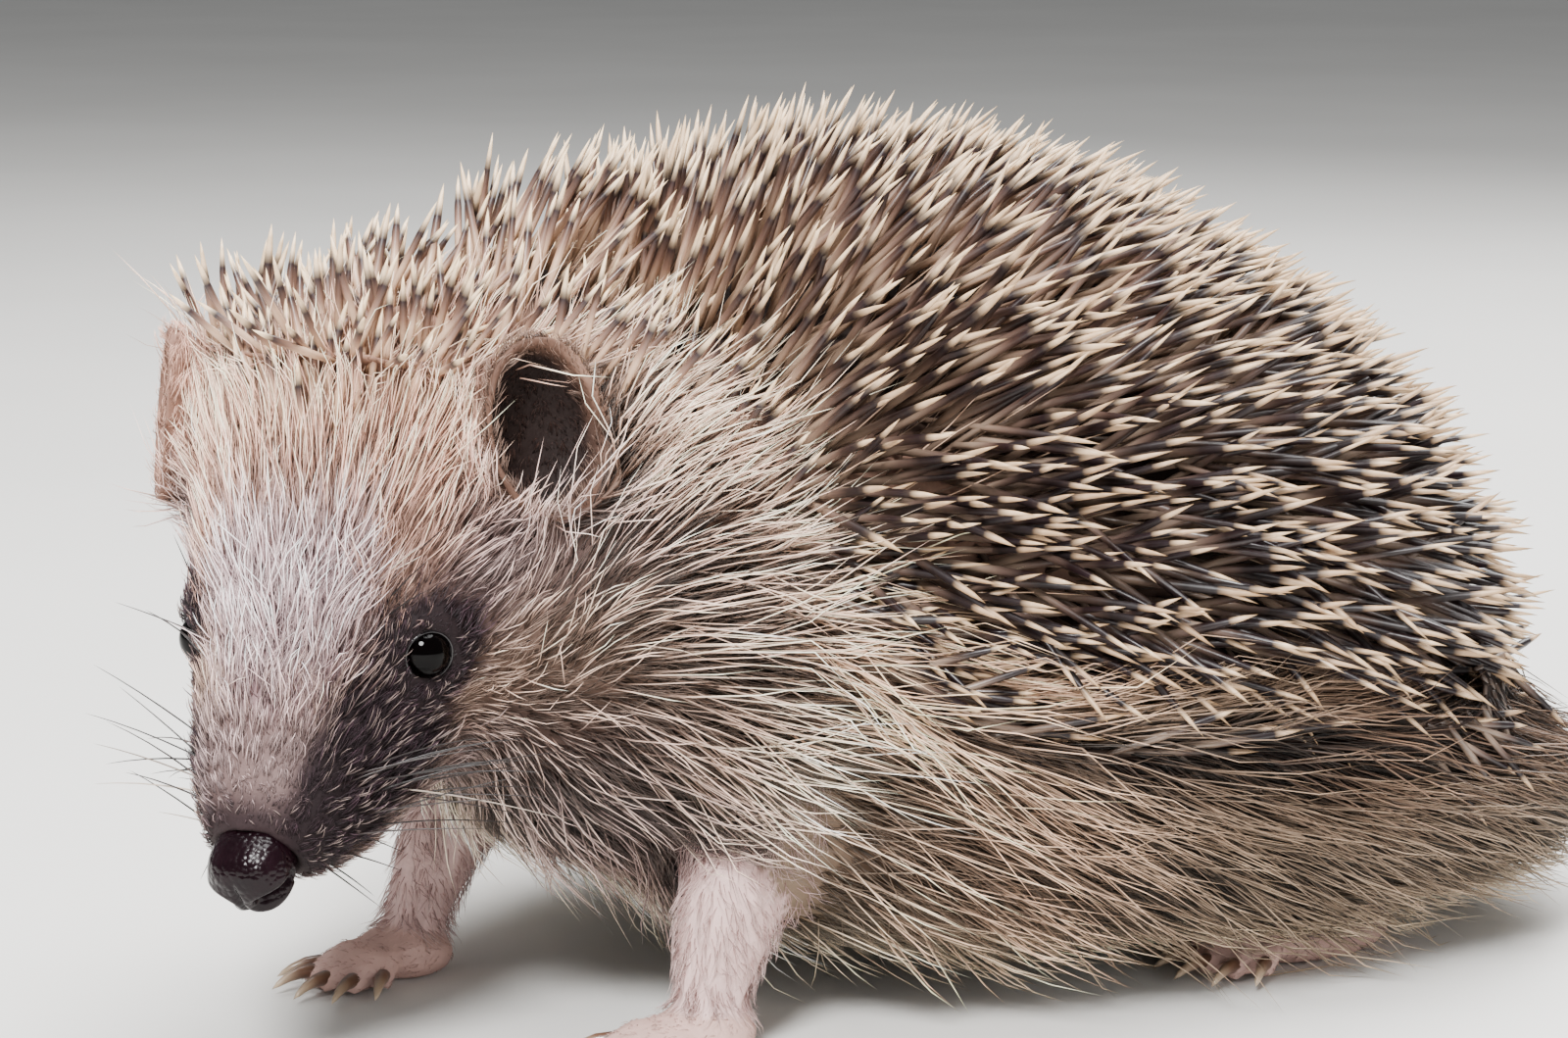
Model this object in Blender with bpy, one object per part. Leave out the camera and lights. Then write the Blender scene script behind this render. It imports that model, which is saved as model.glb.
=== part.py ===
"""A European hedgehog at life size, standing on all four feet with its head lowered and turned to its left.

The animal looks along -Y and its left side is +X. The solids reach out to the tips of the coat.
Tables of sizes are in millimetres, everything that Blender is given is in metres.
"""

import math

import bmesh
import bpy
import numpy as np
from mathutils import Matrix, Vector

MM = 0.001
GAP = 0.3  # clearance between neighbouring pieces
KEPT_SHARE = 0.72  # of the triangles that the cuts leave in the large pieces
COAT_DEPTH = 13.0  # of the standing spines, over the flesh of the back

# The whole animal
TRUNK_CENTRE = Vector((0.0, 20.0, 0.0))
EYE_MIDDLE = Vector((13.9, -76.5, 47.0))  # halfway between the two eyes
HEAD_TURN = 40.6  # degrees to the animal's left
HEAD_DIP = 47.0  # degrees that the line from the eyes to the nose points down
HEAD_TILT = 2.3  # degrees, left side up

# The head, measured from the middle of the eyes: forwards, to the left and up
EYE_SIDE = 13.6
EYE_RADIUS = 2.9
NOSE_AT = (25.7, 0.0, -3.9)
NOSE_SIZE = (4.4, 4.8, 4.5)
NOSTRIL_RADIUS = 0.9
EAR_AT = (-23.5, 24.4, 8.5)
EAR_SIZE = (7.6, 10.5)  # half width and half height of the cup
EAR_WALL = 1.4
MOUTH_LINE = ((20.5, -8.6), (11.0, -11.6), (1.0, -13.4))  # forwards, up

# Rings of the head: forwards, half width, then top and bottom from the line of the eyes
HEAD_RINGS = (
    (24.0, 5.8, 0.6, -9.0),
    (20.0, 8.6, 2.4, -13.0),
    (15.0, 11.2, 4.4, -16.6),
    (9.0, 13.9, 6.8, -20.0),
    (3.0, 16.2, 9.4, -22.6),
    (-4.0, 20.0, 12.4, -24.6),
    (-12.0, 24.2, 15.6, -26.0),
    (-20.0, 26.2, 18.0, -26.0),
    (-28.0, 26.0, 19.2, -25.0),
    (-36.0, 23.4, 18.6, -22.0),
    (-43.0, 18.6, 16.0, -18.0),
    (-48.0, 12.6, 12.0, -14.0),
)

# Rings of the spiny back: backwards from the middle of the trunk, top, bottom and half width
BACK_RINGS = (
    (-72.0, 86.0, 44.0, 24.0),
    (-62.0, 97.0, 22.0, 38.0),
    (-44.0, 103.0, 11.0, 48.0),
    (-20.0, 104.5, 9.0, 53.5),
    (8.0, 98.5, 9.0, 55.0),
    (34.0, 83.5, 10.0, 52.5),
    (48.0, 70.5, 13.0, 44.5),
    (57.0, 57.5, 18.0, 33.5),
    (63.0, 45.0, 26.0, 18.0),
)

# Rings of the furry underside, in the same order
UNDERSIDE_RINGS = (
    (-66.0, 62.0, 24.0, 22.0),
    (-56.0, 70.0, 12.0, 35.0),
    (-40.0, 74.0, 6.0, 44.0),
    (-16.0, 76.0, 4.0, 50.0),
    (10.0, 76.0, 3.0, 51.5),
    (36.0, 68.0, 3.0, 50.0),
    (54.0, 47.0, 3.0, 45.5),
    (65.0, 30.0, 5.0, 37.0),
    (72.0, 20.0, 9.0, 23.0),
)

# Lower edge of the spines, seen from the side: backwards from the middle of the trunk, height
SPINE_EDGE = (
    (95.0, 24.0),
    (62.0, 26.5),
    (25.0, 32.0),
    (-15.0, 35.0),
    (-32.0, 39.0),
    (-44.0, 49.0),
    (-52.0, 62.0),
    (-58.0, 72.0),
    (-74.0, 76.0),
)

NECK_CUT = -33.0  # y of the cut between neck and trunk

# Each foot: where its palm or heel pad is, the way it points (degrees to the left), the half
# length, half width and height of the pad, and how far the longest toe reaches from its middle
FEET = {
    "forefoot_left": ((31.0, -38.0), 12.0, (6.5, 6.0, 6.4), 13.0),
    "forefoot_right": ((-14.5, -55.0), 24.0, (6.5, 6.0, 6.4), 13.0),
    "hindfoot_left": ((30.0, 46.0), 10.0, (11.5, 5.4, 6.6), 18.5),
    "hindfoot_right": ((-29.0, 57.0), -6.0, (11.5, 5.4, 6.6), 18.5),
}
TOE_FAN = 17.0  # degrees between neighbouring toes
TOE_SHARES = (0.76, 0.95, 1.0, 0.94, 0.74)  # of the longest toe's reach
CLAW_LENGTH = 5.0

# Each leg: x, y, z and radius along its middle, from inside the trunk down to the foot
LEGS = {
    "foreleg_left": ((26.0, -26.0, 30.0, 10.0), (29.0, -33.0, 17.0, 7.4), (30.5, -37.0, 6.0, 5.4)),
    "foreleg_right": ((-20.0, -34.0, 30.0, 10.0), (-18.5, -47.0, 17.0, 7.0), (-15.5, -53.0, 6.0, 5.2)),
    "hindleg_left": ((24.0, 44.0, 24.0, 9.5), (31.0, 54.0, 18.0, 8.4), (29.5, 51.0, 6.0, 5.2)),
    "hindleg_right": ((-24.0, 50.0, 24.0, 9.5), (-31.0, 64.0, 18.0, 8.4), (-29.5, 62.0, 6.0, 5.2)),
}
TAIL = ((0.0, 77.0, 19.0, 3.4), (0.0, 87.0, 15.5, 3.0), (0.0, 96.0, 10.0, 1.8))

# Colour and roughness of each kind of surface
SURFACES = {
    "spiny_back": ((0.23, 0.185, 0.135), 0.45),
    "head": ((0.42, 0.34, 0.29), 0.8),
    "lower_jaw": ((0.34, 0.27, 0.23), 0.8),
    "neck": ((0.40, 0.32, 0.25), 0.85),
    "trunk": ((0.33, 0.26, 0.19), 0.85),
    "nose": ((0.018, 0.012, 0.016), 0.25),
    "eye": ((0.006, 0.004, 0.004), 0.06),
    "ear": ((0.10, 0.06, 0.05), 0.7),
    "leg": ((0.20, 0.14, 0.11), 0.75),
    "foot": ((0.30, 0.20, 0.17), 0.6),
    "tail": ((0.28, 0.20, 0.16), 0.7),
}


def rows_between(rows, steps):
    """The rows of a table with more set between them, on a smooth curve through the given ones."""
    table = np.array(rows, float)
    padded = np.vstack([2 * table[0] - table[1], table, 2 * table[-1] - table[-2]])
    found = []
    for before, here, there, after in zip(padded, padded[1:], padded[2:], padded[3:]):
        for step in range(steps):
            t = step / steps
            found.append(
                0.5
                * (
                    2 * here
                    + (there - before) * t
                    + (2 * before - 5 * here + 4 * there - after) * t**2
                    + (3 * here - before - 3 * there + after) * t**3
                )
            )
    found.append(table[-1])
    return found


def mesh_object(name, shape):
    """A new object from a bmesh, with its faces pointing out."""
    bmesh.ops.recalc_face_normals(shape, faces=shape.faces)
    mesh = bpy.data.meshes.new(name)
    shape.to_mesh(mesh)
    shape.free()
    made = bpy.data.objects.new(name, mesh)
    bpy.context.scene.collection.objects.link(made)
    return made


def add_tube(shape, rings):
    """Skins a list of rings of points, and closes both ends with a fan."""
    loops = [[shape.verts.new(Vector(point) * MM) for point in ring] for ring in rings]
    for loop, following in zip(loops, loops[1:]):
        for i in range(len(loop)):
            j = (i + 1) % len(loop)
            shape.faces.new((loop[i], loop[j], following[j], following[i]))
    for loop in (loops[0], loops[-1]):
        middle = shape.verts.new(sum((v.co for v in loop), Vector()) / len(loop))
        for i in range(len(loop)):
            shape.faces.new((loop[i], loop[(i + 1) % len(loop)], middle))


def oval(centre, side, up, half_width, top, bottom, sides=28, fullness=1.0):
    """A ring with its own height above and below the centre. A fullness under 1 squares it."""
    ring = []
    for k in range(sides):
        c, s = math.cos(math.tau * k / sides), math.sin(math.tau * k / sides)
        across = half_width * math.copysign(abs(c) ** fullness, c)
        height = (top if s > 0 else bottom) * math.copysign(abs(s) ** fullness, s)
        ring.append(centre + side * across + up * height)
    return ring


def add_ball(shape, centre, radii, turn=None, rows=16):
    """An ellipsoid with its radii along the columns of a turn."""
    placed = Matrix.Translation(Vector(centre) * MM)
    if turn is not None:
        placed = placed @ turn.to_4x4()
    placed = placed @ Matrix.Diagonal((*(r * MM for r in radii), 1))
    bmesh.ops.create_uvsphere(
        shape, u_segments=2 * rows, v_segments=rows, radius=1, matrix=placed
    )


def add_limb(shape, points):
    """A round tube through (x, y, z, radius) points, with rounded ends."""
    rows = rows_between(points, 4)
    places = [Vector(row[:3]) for row in rows]
    rings = []
    for k, row in enumerate(rows):
        along = places[min(k + 1, len(rows) - 1)] - places[max(k - 1, 0)]
        side = along.cross(Vector((0, 0, 1)))
        if side.length < 0.01 * along.length:
            side = Vector((1, 0, 0))
        side.normalize()
        up = side.cross(along.normalized())
        rings.append(oval(places[k], side, up, row[3], row[3], row[3], sides=14))
    add_tube(shape, rings)
    for k in (0, -1):
        add_ball(shape, places[k], (rows[k][3] * 0.98,) * 3, rows=8)


def modified(made, kind, **settings):
    """Adds a modifier, and bakes it into the object's own mesh."""
    modifier = made.modifiers.new(kind.title(), kind)
    for name, value in settings.items():
        setattr(modifier, name, value)
    graph = bpy.context.evaluated_depsgraph_get()
    mesh = bpy.data.meshes.new_from_object(made.evaluated_get(graph))
    made.modifiers.clear()
    old = made.data
    made.data = mesh
    bpy.data.meshes.remove(old)
    return made


def clay(name, shape, voxel, smoothing, triangles):
    """Melts overlapping shapes into one smooth closed skin of about that many triangles."""
    made = mesh_object(name, shape)
    modified(made, "REMESH", mode="VOXEL", voxel_size=voxel * MM)
    if smoothing:
        modified(made, "SMOOTH", factor=0.5, iterations=smoothing)
    modified(made, "TRIANGULATE")
    share = triangles / len(made.data.polygons)
    return modified(made, "DECIMATE", ratio=min(1.0, share))


def copied(made, name, swell=0.0):
    """A copy of an object, moved outwards along its normals."""
    twin = bpy.data.objects.new(name, made.data.copy())
    bpy.context.scene.collection.objects.link(twin)
    if swell:
        shape = bmesh.new()
        shape.from_mesh(twin.data)
        shape.normal_update()
        for v in shape.verts:
            v.co += v.normal * swell * MM
        shape.to_mesh(twin.data)
        shape.free()
    return twin


def cut(made, other, operation="DIFFERENCE", swell=0.0):
    """Cuts one object by another, which stays as it is."""
    cutter = copied(other, "cutter", swell)
    modified(made, "BOOLEAN", operation=operation, object=cutter, solver="EXACT")
    bpy.data.objects.remove(cutter)
    return tidied(made)


def tidied(made):
    """Welds the slivers that a cut leaves, and drops the crumbs beside the main body."""
    shape = bmesh.new()
    shape.from_mesh(made.data)
    bmesh.ops.remove_doubles(shape, verts=shape.verts, dist=0.00002)
    bmesh.ops.dissolve_degenerate(shape, edges=shape.edges, dist=0.00001)
    left = set(shape.verts)
    bodies = []
    while left:
        body, edge = set(), [left.pop()]
        while edge:
            v = edge.pop()
            body.add(v)
            for e in v.link_edges:
                other = e.other_vert(v)
                if other in left:
                    left.remove(other)
                    edge.append(other)
        bodies.append(body)
    bodies.sort(key=len)
    crumbs = [v for body in bodies[:-1] for v in body]
    bmesh.ops.delete(shape, geom=crumbs, context="VERTS")
    bmesh.ops.triangulate(shape, faces=shape.faces)
    shape.to_mesh(made.data)
    shape.free()
    return made


def slab(name, origin, facing, size=200.0):
    """A large block with one face through origin. It lies on the side that facing points to."""
    shape = bmesh.new()
    bmesh.ops.create_cube(shape, size=size * MM)
    turn = Vector(facing).to_track_quat("Z", "Y").to_matrix().to_4x4()
    middle = Vector(origin) + Vector(facing).normalized() * size / 2
    bmesh.ops.transform(
        shape, matrix=Matrix.Translation(middle * MM) @ turn, verts=shape.verts
    )
    return mesh_object(name, shape)


def cut_by_plane(made, origin, facing):
    """Takes away what lies on the side of a plane that facing points to."""
    block = slab("block", origin, facing)
    cut(made, block)
    bpy.data.objects.remove(block)
    return made


def head_frame():
    """The turn whose columns point forwards along the muzzle, to the animal's left and up out of the brow."""
    turn, dip, tilt = (math.radians(a) for a in (HEAD_TURN, HEAD_DIP, HEAD_TILT))
    level = Vector((math.sin(turn), -math.cos(turn), 0))
    left = Vector((math.cos(turn), math.sin(turn), 0))
    forwards = level * math.cos(dip) - Vector((0, 0, math.sin(dip)))
    up = level * math.sin(dip) + Vector((0, 0, math.cos(dip)))
    leaning = left * math.cos(tilt) + up * math.sin(tilt)
    up = up * math.cos(tilt) - left * math.sin(tilt)
    return Matrix((forwards, leaning, up)).transposed()


HEAD = head_frame()


def in_head(forwards, left, up):
    """A point given along the head's own directions."""
    return EYE_MIDDLE + HEAD @ Vector((forwards, left, up))


def head_rings():
    rings = []
    for forwards, half_width, top, bottom in rows_between(HEAD_RINGS, 3):
        centre = in_head(forwards, 0, (top + bottom) / 2)
        half_height = (top - bottom) / 2
        rings.append(
            oval(centre, HEAD.col[1], HEAD.col[2], half_width, half_height, half_height)
        )
    return rings


def trunk_rings(table, level, fullness):
    """Rings across the trunk, widest at the given height."""
    rings = []
    for back, top, bottom, half_width in rows_between(table, 3):
        middle = level + (bottom + top - 2 * level) * 0.15
        centre = TRUNK_CENTRE + Vector((0, back, middle))
        rings.append(
            oval(
                centre,
                Vector((1, 0, 0)),
                Vector((0, 0, 1)),
                half_width,
                top - middle,
                middle - bottom,
                sides=40,
                fullness=fullness,
            )
        )
    return rings


def dome(triangles, sunk=0.0):
    """The upper body out to the tips of the spines, or that much less all round."""
    shape = bmesh.new()
    rings = [
        (back * (1 - sunk / 68), top - sunk, bottom + sunk, half_width - sunk)
        for back, top, bottom, half_width in BACK_RINGS
    ]
    add_tube(shape, trunk_rings(rings, 42.0, 0.94))
    add_ball(shape, (0, -44, 74), [r - sunk for r in (27, 25, 26)])  # nape
    crown = [r - 0.75 * sunk for r in (14, 24.5, 17)]
    add_ball(shape, in_head(-37, 1, 7 - 0.2 * sunk), crown, HEAD)
    return clay("dome", shape, 1.8, 10, triangles)


def below_spines():
    """A broad blade whose upper face is the lower edge of the spines."""
    profile = [(back + TRUNK_CENTRE.y, z) for back, z in rows_between(SPINE_EDGE, 3)]
    profile += [(-100.0, profile[-1][1]), (-100.0, -20.0), (profile[0][0], -20.0)]
    shape = bmesh.new()
    loop = [shape.verts.new(Vector((-80, y, z)) * MM) for y, z in profile]
    face = shape.faces.new(loop)
    raised = bmesh.ops.extrude_face_region(shape, geom=[face])["geom"]
    moved = [v for v in raised if isinstance(v, bmesh.types.BMVert)]
    bmesh.ops.translate(shape, verts=moved, vec=Vector((160, 0, 0)) * MM)
    return mesh_object("blade", shape)


def spiny_back(core):
    """The coat of spines as a thick shell from the brow to the rump."""
    made = dome(900)
    made.name = "spiny_back"
    blade = below_spines()
    cut(made, blade)
    bpy.data.objects.remove(blade)
    return cut(made, core)


def head_flesh():
    """The head with muzzle and cheeks, out to the tips of its fur."""
    shape = bmesh.new()
    add_tube(shape, head_rings())
    return clay("head", shape, 1.0, 6, 800)


def body_flesh(core):
    """Neck, trunk and hanging belly fur, with the core under the spines."""
    shape = bmesh.new()
    add_tube(shape, trunk_rings(UNDERSIDE_RINGS, 24.0, 0.66))
    add_ball(shape, (3, -42, 47), (35.5, 24, 32))  # chest and throat
    made = clay("trunk", shape, 1.6, 8, 850)
    return cut(made, core, "UNION")


def ball_object(name, centre, radii, rows):
    shape = bmesh.new()
    add_ball(shape, centre, radii, HEAD, rows)
    return mesh_object(name, shape)


def set_ball(name, head, centre, radii, rows):
    """A ball let into the head, which gives way to it."""
    room = ball_object("room", centre, [r + GAP for r in radii], rows)
    cut(head, room)
    bpy.data.objects.remove(room)
    return ball_object(name, centre, radii, rows)


def nose(head):
    """The nose pad with its two nostrils."""
    made = set_ball("nose", head, in_head(*NOSE_AT), NOSE_SIZE, 8)
    forwards, _, up = NOSE_AT
    for side in (1, -1):
        middle = in_head(forwards + 2.9, side * 2.9, up - 0.6)
        nostril = ball_object("nostril", middle, (1.6, NOSTRIL_RADIUS, 1.1), 5)
        cut(made, nostril)
        bpy.data.objects.remove(nostril)
    return made


def lower_jaw(head):
    """The jaw, parted from the head along the line of the mouth. The head loses it."""
    pieces = []
    for lift in (0, GAP):
        shape = bmesh.new()
        back = MOUTH_LINE[-1][0] - lift
        profile = [(f, u + lift) for f, u in MOUTH_LINE[:-1]] + [(back, MOUTH_LINE[-1][1] + lift)]
        profile += [(back, -40), (30, -40), (30, MOUTH_LINE[0][1] + lift)]
        loop = [shape.verts.new(in_head(f, -20, u) * MM) for f, u in profile]
        raised = bmesh.ops.extrude_face_region(shape, geom=[shape.faces.new(loop)])["geom"]
        moved = [v for v in raised if isinstance(v, bmesh.types.BMVert)]
        bmesh.ops.translate(shape, verts=moved, vec=HEAD.col[1] * 40 * MM)
        pieces.append(mesh_object("wedge", shape))
    jaw = cut(copied(head, "lower_jaw"), pieces[0], "INTERSECT")
    cut(head, pieces[1])
    for piece in pieces:
        bpy.data.objects.remove(piece)
    return jaw


def ear_turn(side):
    """The turn whose columns point out of the cup's opening, across it and up to its tip."""
    facing = (HEAD @ Vector((0.3, 0.8 * side, 0.5))).normalized()
    up = HEAD @ Vector((-0.8, -0.3 * side, 0.6))
    across = up.cross(facing).normalized()
    return Matrix((facing, across, facing.cross(across))).transposed()


def ear(side):
    """A cup, and the solid that fills it, which shows where its neighbours have to give way."""
    turn = ear_turn(side)
    middle = in_head(EAR_AT[0], side * EAR_AT[1], EAR_AT[2])
    halves = []
    for wall in (0, EAR_WALL):
        shape = bmesh.new()
        radii = (6.5 - wall, EAR_SIZE[0] - wall, EAR_SIZE[1] - wall)
        add_ball(shape, middle, radii, turn, rows=8)
        halves.append(mesh_object("half", shape))
    room, hollow = halves
    cut_by_plane(room, middle, turn.col[0])
    cup = cut(copied(room, "cup"), hollow)
    bpy.data.objects.remove(hollow)
    return cup, room


def foot(name, place, heading, pad, reach):
    """A pad with five toes and their claws, flat underneath."""
    x, y = place
    turn = Matrix.Rotation(math.radians(heading), 3, "Z")
    ahead = turn @ Vector((0, -1, 0))
    shape = bmesh.new()
    half_length, half_width, height = pad
    radii = (half_width, half_length, height * 0.62)
    add_ball(shape, (x, y, height * 0.38), radii, turn)
    for k, share in enumerate(TOE_SHARES):
        way = Matrix.Rotation(math.radians((k - 2) * TOE_FAN), 3, "Z") @ ahead
        root = Vector((x, y, 2.6)) + ahead * (half_length - 5) + way * 2.5
        length = (reach - half_length + 5) * share - 2.5
        tip = root + way * length
        knuckle = root.lerp(tip, 0.5)
        add_limb(
            shape,
            ((*root, 2.2), (knuckle.x, knuckle.y, 3.0, 1.9), (tip.x, tip.y, 1.6, 1.6)),
        )
        middle, end = tip + way * CLAW_LENGTH * 0.5, tip + way * CLAW_LENGTH
        add_limb(
            shape,
            ((tip.x, tip.y, 1.9, 1.1), (middle.x, middle.y, 1.9, 0.85), (end.x, end.y, 0.7, 0.5)),
        )
    made = clay(name, shape, 0.42, 2, 340)
    return cut_by_plane(made, (x, y, 0), (0, 0, -1))


def limb(name, points, triangles):
    shape = bmesh.new()
    add_limb(shape, points)
    return clay(name, shape, 0.8, 2, triangles)


def split(body):
    """Parts the neck from the trunk."""
    neck = copied(body, "neck")
    cut_by_plane(neck, (0, NECK_CUT - GAP, 0), (0, 1, 0))
    cut_by_plane(body, (0, NECK_CUT, 0), (0, -1, 0))
    return neck


def surface(made, kind):
    """Shades a piece smooth and gives it a material of its own."""
    colour, roughness = SURFACES[kind]
    material = bpy.data.materials.new(made.name)
    material.use_nodes = True
    shader = material.node_tree.nodes["Principled BSDF"]
    shader.inputs["Base Color"].default_value = (*colour, 1)
    shader.inputs["Roughness"].default_value = roughness
    shader.inputs["Metallic"].default_value = 0.0
    made.data.materials.clear()
    made.data.materials.append(material)
    made.data.shade_smooth()
    made.data.set_sharp_from_angle(angle=math.radians(50))


def settle(pieces):
    """Moves the whole animal so that its box stands on the origin."""
    points = np.array([made.matrix_world @ v.co for made in pieces for v in made.data.vertices])
    low, high = points.min(axis=0), points.max(axis=0)
    shift = Vector(((low[0] + high[0]) / 2, (low[1] + high[1]) / 2, low[2]))
    for made in pieces:
        made.data.transform(Matrix.Translation(-shift))


def main():
    for old in list(bpy.data.objects):
        bpy.data.objects.remove(old)
    core = dome(260, COAT_DEPTH)
    mantle, head, trunk = spiny_back(core), head_flesh(), body_flesh(core)
    neck = split(trunk)
    bpy.data.objects.remove(core)
    pieces = {mantle: "spiny_back", head: "head", trunk: "trunk", neck: "neck"}
    for made in (neck, trunk):
        cut(made, head, swell=GAP)
    for made in (head, neck, trunk):
        cut(made, mantle, swell=GAP)
    for side, word in ((1, "left"), (-1, "right")):
        cup, room = ear(side)
        for made in (mantle, head, neck):
            cut(made, room, swell=GAP)
        bpy.data.objects.remove(room)
        cup.name = "ear_" + word
        pieces[cup] = "ear"
    pieces[nose(head)] = "nose"
    for side, word in ((1, "left"), (-1, "right")):
        centre = in_head(0, side * EYE_SIDE, 0)
        pieces[set_ball("eye_" + word, head, centre, (EYE_RADIUS,) * 3, 8)] = "eye"
    pieces[lower_jaw(head)] = "lower_jaw"
    for name, points in LEGS.items():
        leg = limb(name, points, 90)
        near = foot(name.replace("leg", "foot"), *FEET[name.replace("leg", "foot")])
        cut(leg, near, swell=GAP)
        cut(leg, mantle, swell=GAP)
        for made in (neck, trunk):
            cut(made, leg, swell=GAP)
            cut(made, near, swell=GAP)
        pieces[leg] = "leg"
        pieces[near] = "foot"
    tail = limb("tail", TAIL, 90)
    cut(trunk, tail, swell=GAP)
    pieces[tail] = "tail"
    for made in (mantle, head, neck, trunk):
        modified(made, "DECIMATE", ratio=KEPT_SHARE)
        tidied(made)
    for made, kind in pieces.items():
        surface(made, kind)
    settle(list(pieces))


main()
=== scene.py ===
import math

import bmesh
import bpy
import numpy as np
from mathutils import Matrix, Vector
from mathutils.bvhtree import BVHTree
from mathutils.kdtree import KDTree


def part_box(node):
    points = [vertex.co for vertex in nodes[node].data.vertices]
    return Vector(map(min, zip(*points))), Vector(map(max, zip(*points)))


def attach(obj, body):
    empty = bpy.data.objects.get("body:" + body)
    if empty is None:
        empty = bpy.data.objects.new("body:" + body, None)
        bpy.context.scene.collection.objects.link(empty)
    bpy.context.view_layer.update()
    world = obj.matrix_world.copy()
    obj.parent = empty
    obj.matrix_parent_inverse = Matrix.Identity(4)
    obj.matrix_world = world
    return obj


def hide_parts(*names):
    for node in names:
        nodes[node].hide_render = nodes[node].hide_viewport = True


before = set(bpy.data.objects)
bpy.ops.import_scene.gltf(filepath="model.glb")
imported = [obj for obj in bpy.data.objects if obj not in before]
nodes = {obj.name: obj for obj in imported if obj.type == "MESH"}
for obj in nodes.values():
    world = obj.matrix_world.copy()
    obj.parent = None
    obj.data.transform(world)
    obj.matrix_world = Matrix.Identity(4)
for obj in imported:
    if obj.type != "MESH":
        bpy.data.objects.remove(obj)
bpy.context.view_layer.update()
mm = 0.001
fleshNodes = ["head", "lower_jaw", "neck", "trunk", "tail", "ear_left", "ear_right"]
fleshNodes += [n for n in nodes if n.startswith(("fore", "hind"))]


# The head's own directions, from the eyes and the nose pad

def middleOf(node):
    low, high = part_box(node)
    return (low + high) / 2


sides = {"left": 1, "right": -1}
eyeAt = {side: middleOf(f"eye_{word}") for word, side in sides.items()}
eyeMiddle = (eyeAt[1] + eyeAt[-1]) / 2
noseDrop = math.atan2(3.9, 25.7)  # the nose pad sits a little below the line of the eyes
headLeft = (eyeAt[1] - eyeAt[-1]).normalized()
toNose = middleOf("nose") - eyeMiddle
toNose = (toNose - headLeft * toNose.dot(headLeft)).normalized()
headForward = toNose * math.cos(noseDrop) + toNose.cross(headLeft) * math.sin(noseDrop)
headUp = headForward.cross(headLeft)
headAxes = np.array([headForward, headLeft, headUp])
eyeOrigin = np.array(eyeMiddle)
bodyOrigin = eyeOrigin - np.array((13.9, -76.5, 47.0)) * mm  # under the withers, on the floor


def inHead(points):  # forwards, left and up from between the eyes, in millimetres
    return (points - eyeOrigin) @ headAxes.T / mm


def fromHead(places):
    return np.asarray(places, float) @ headAxes * mm + eyeOrigin


def inBody(points):  # left, backwards and up, in millimetres
    return (points - bodyOrigin) / mm


# Small helpers on arrays

def fade(low, high, value):  # 0 up to the first value, 1 past the second, smooth in between
    t = np.clip((value - low) / (high - low), 0, 1)
    return t * t * (3 - 2 * t)


def unit(vectors):
    return vectors / np.maximum(np.linalg.norm(vectors, axis=-1, keepdims=True), 1e-12)


def bump(value, middle, width):  # 1 at the middle, falling to 0 on both sides
    return np.exp(-(((value - middle) / width) ** 2))


def laid(ways, normals):  # the ways without what points out of the skin
    return ways - normals * (ways * normals).sum(axis=1)[:, None]


def turned(ways, normals, angle):  # the ways turned about the normals, in radians
    return ways * np.cos(angle) + np.cross(normals, ways) * np.sin(angle)


def lifted(ways, normals, rise):  # the ways lifted off the skin, in radians
    return ways * np.cos(rise)[:, None] + normals * np.sin(rise)[:, None]


def blend(first, second, share):
    return first + (second - first) * np.asarray(share)[..., None]


def gapTo(points, place):  # in millimetres
    return np.linalg.norm(points - np.array(place), axis=1) / mm


def named(owner, word):
    return np.char.find(owner, word) >= 0


def columns(*parts):  # numbers and arrays side by side
    return np.stack(np.broadcast_arrays(*parts), axis=1)


def threesOf(items, word, kind=float):  # a mesh's vertices or triangles, three values each
    flat = np.empty(len(items) * 3, kind)
    items.foreach_get(word, flat)
    return flat.reshape(-1, 3)


def normalsOf(points, triangles):
    a, b, c = (points[triangles[:, k]] for k in range(3))
    across = np.cross(b - a, c - a)
    total = np.zeros_like(points)
    for k in range(3):
        for axis in range(3):
            total[:, axis] += np.bincount(triangles[:, k], across[:, axis], len(points))
    return unit(total)


def spread(values, triangles, rounds, share=0.5):  # each value drifts towards those around it
    size = len(values)
    ends = np.concatenate([triangles[:, [0, 1]], triangles[:, [1, 2]], triangles[:, [2, 0]]])
    ends = np.concatenate([ends, ends[:, ::-1]])
    around = np.bincount(ends[:, 0], minlength=size)
    found = values.copy()
    for _ in range(rounds):
        for axis in range(found.shape[1]):
            near = np.bincount(ends[:, 0], found[ends[:, 1], axis], size) / np.maximum(around, 1)
            found[:, axis] += (near - found[:, axis]) * share
    return found


def treeOf(names):  # a search tree over several frame nodes, and the node of each of its faces
    points, faces, owner = [], [], []
    for name in names:
        mesh = nodes[name].data
        start = len(points)
        points += [v.co.copy() for v in mesh.vertices]
        faces += [tuple(start + i for i in p.vertices) for p in mesh.polygons]
        owner += [name] * len(mesh.polygons)
    return BVHTree.FromPolygons(points, faces), owner


def linked(name, data):
    made = bpy.data.objects.new(name, data)
    bpy.context.scene.collection.objects.link(made)
    return made


def addPiece(name, shape):
    mesh = bpy.data.meshes.new(name)
    shape.to_mesh(mesh)
    shape.free()
    mesh.shade_smooth()
    return linked(name, mesh)


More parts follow.
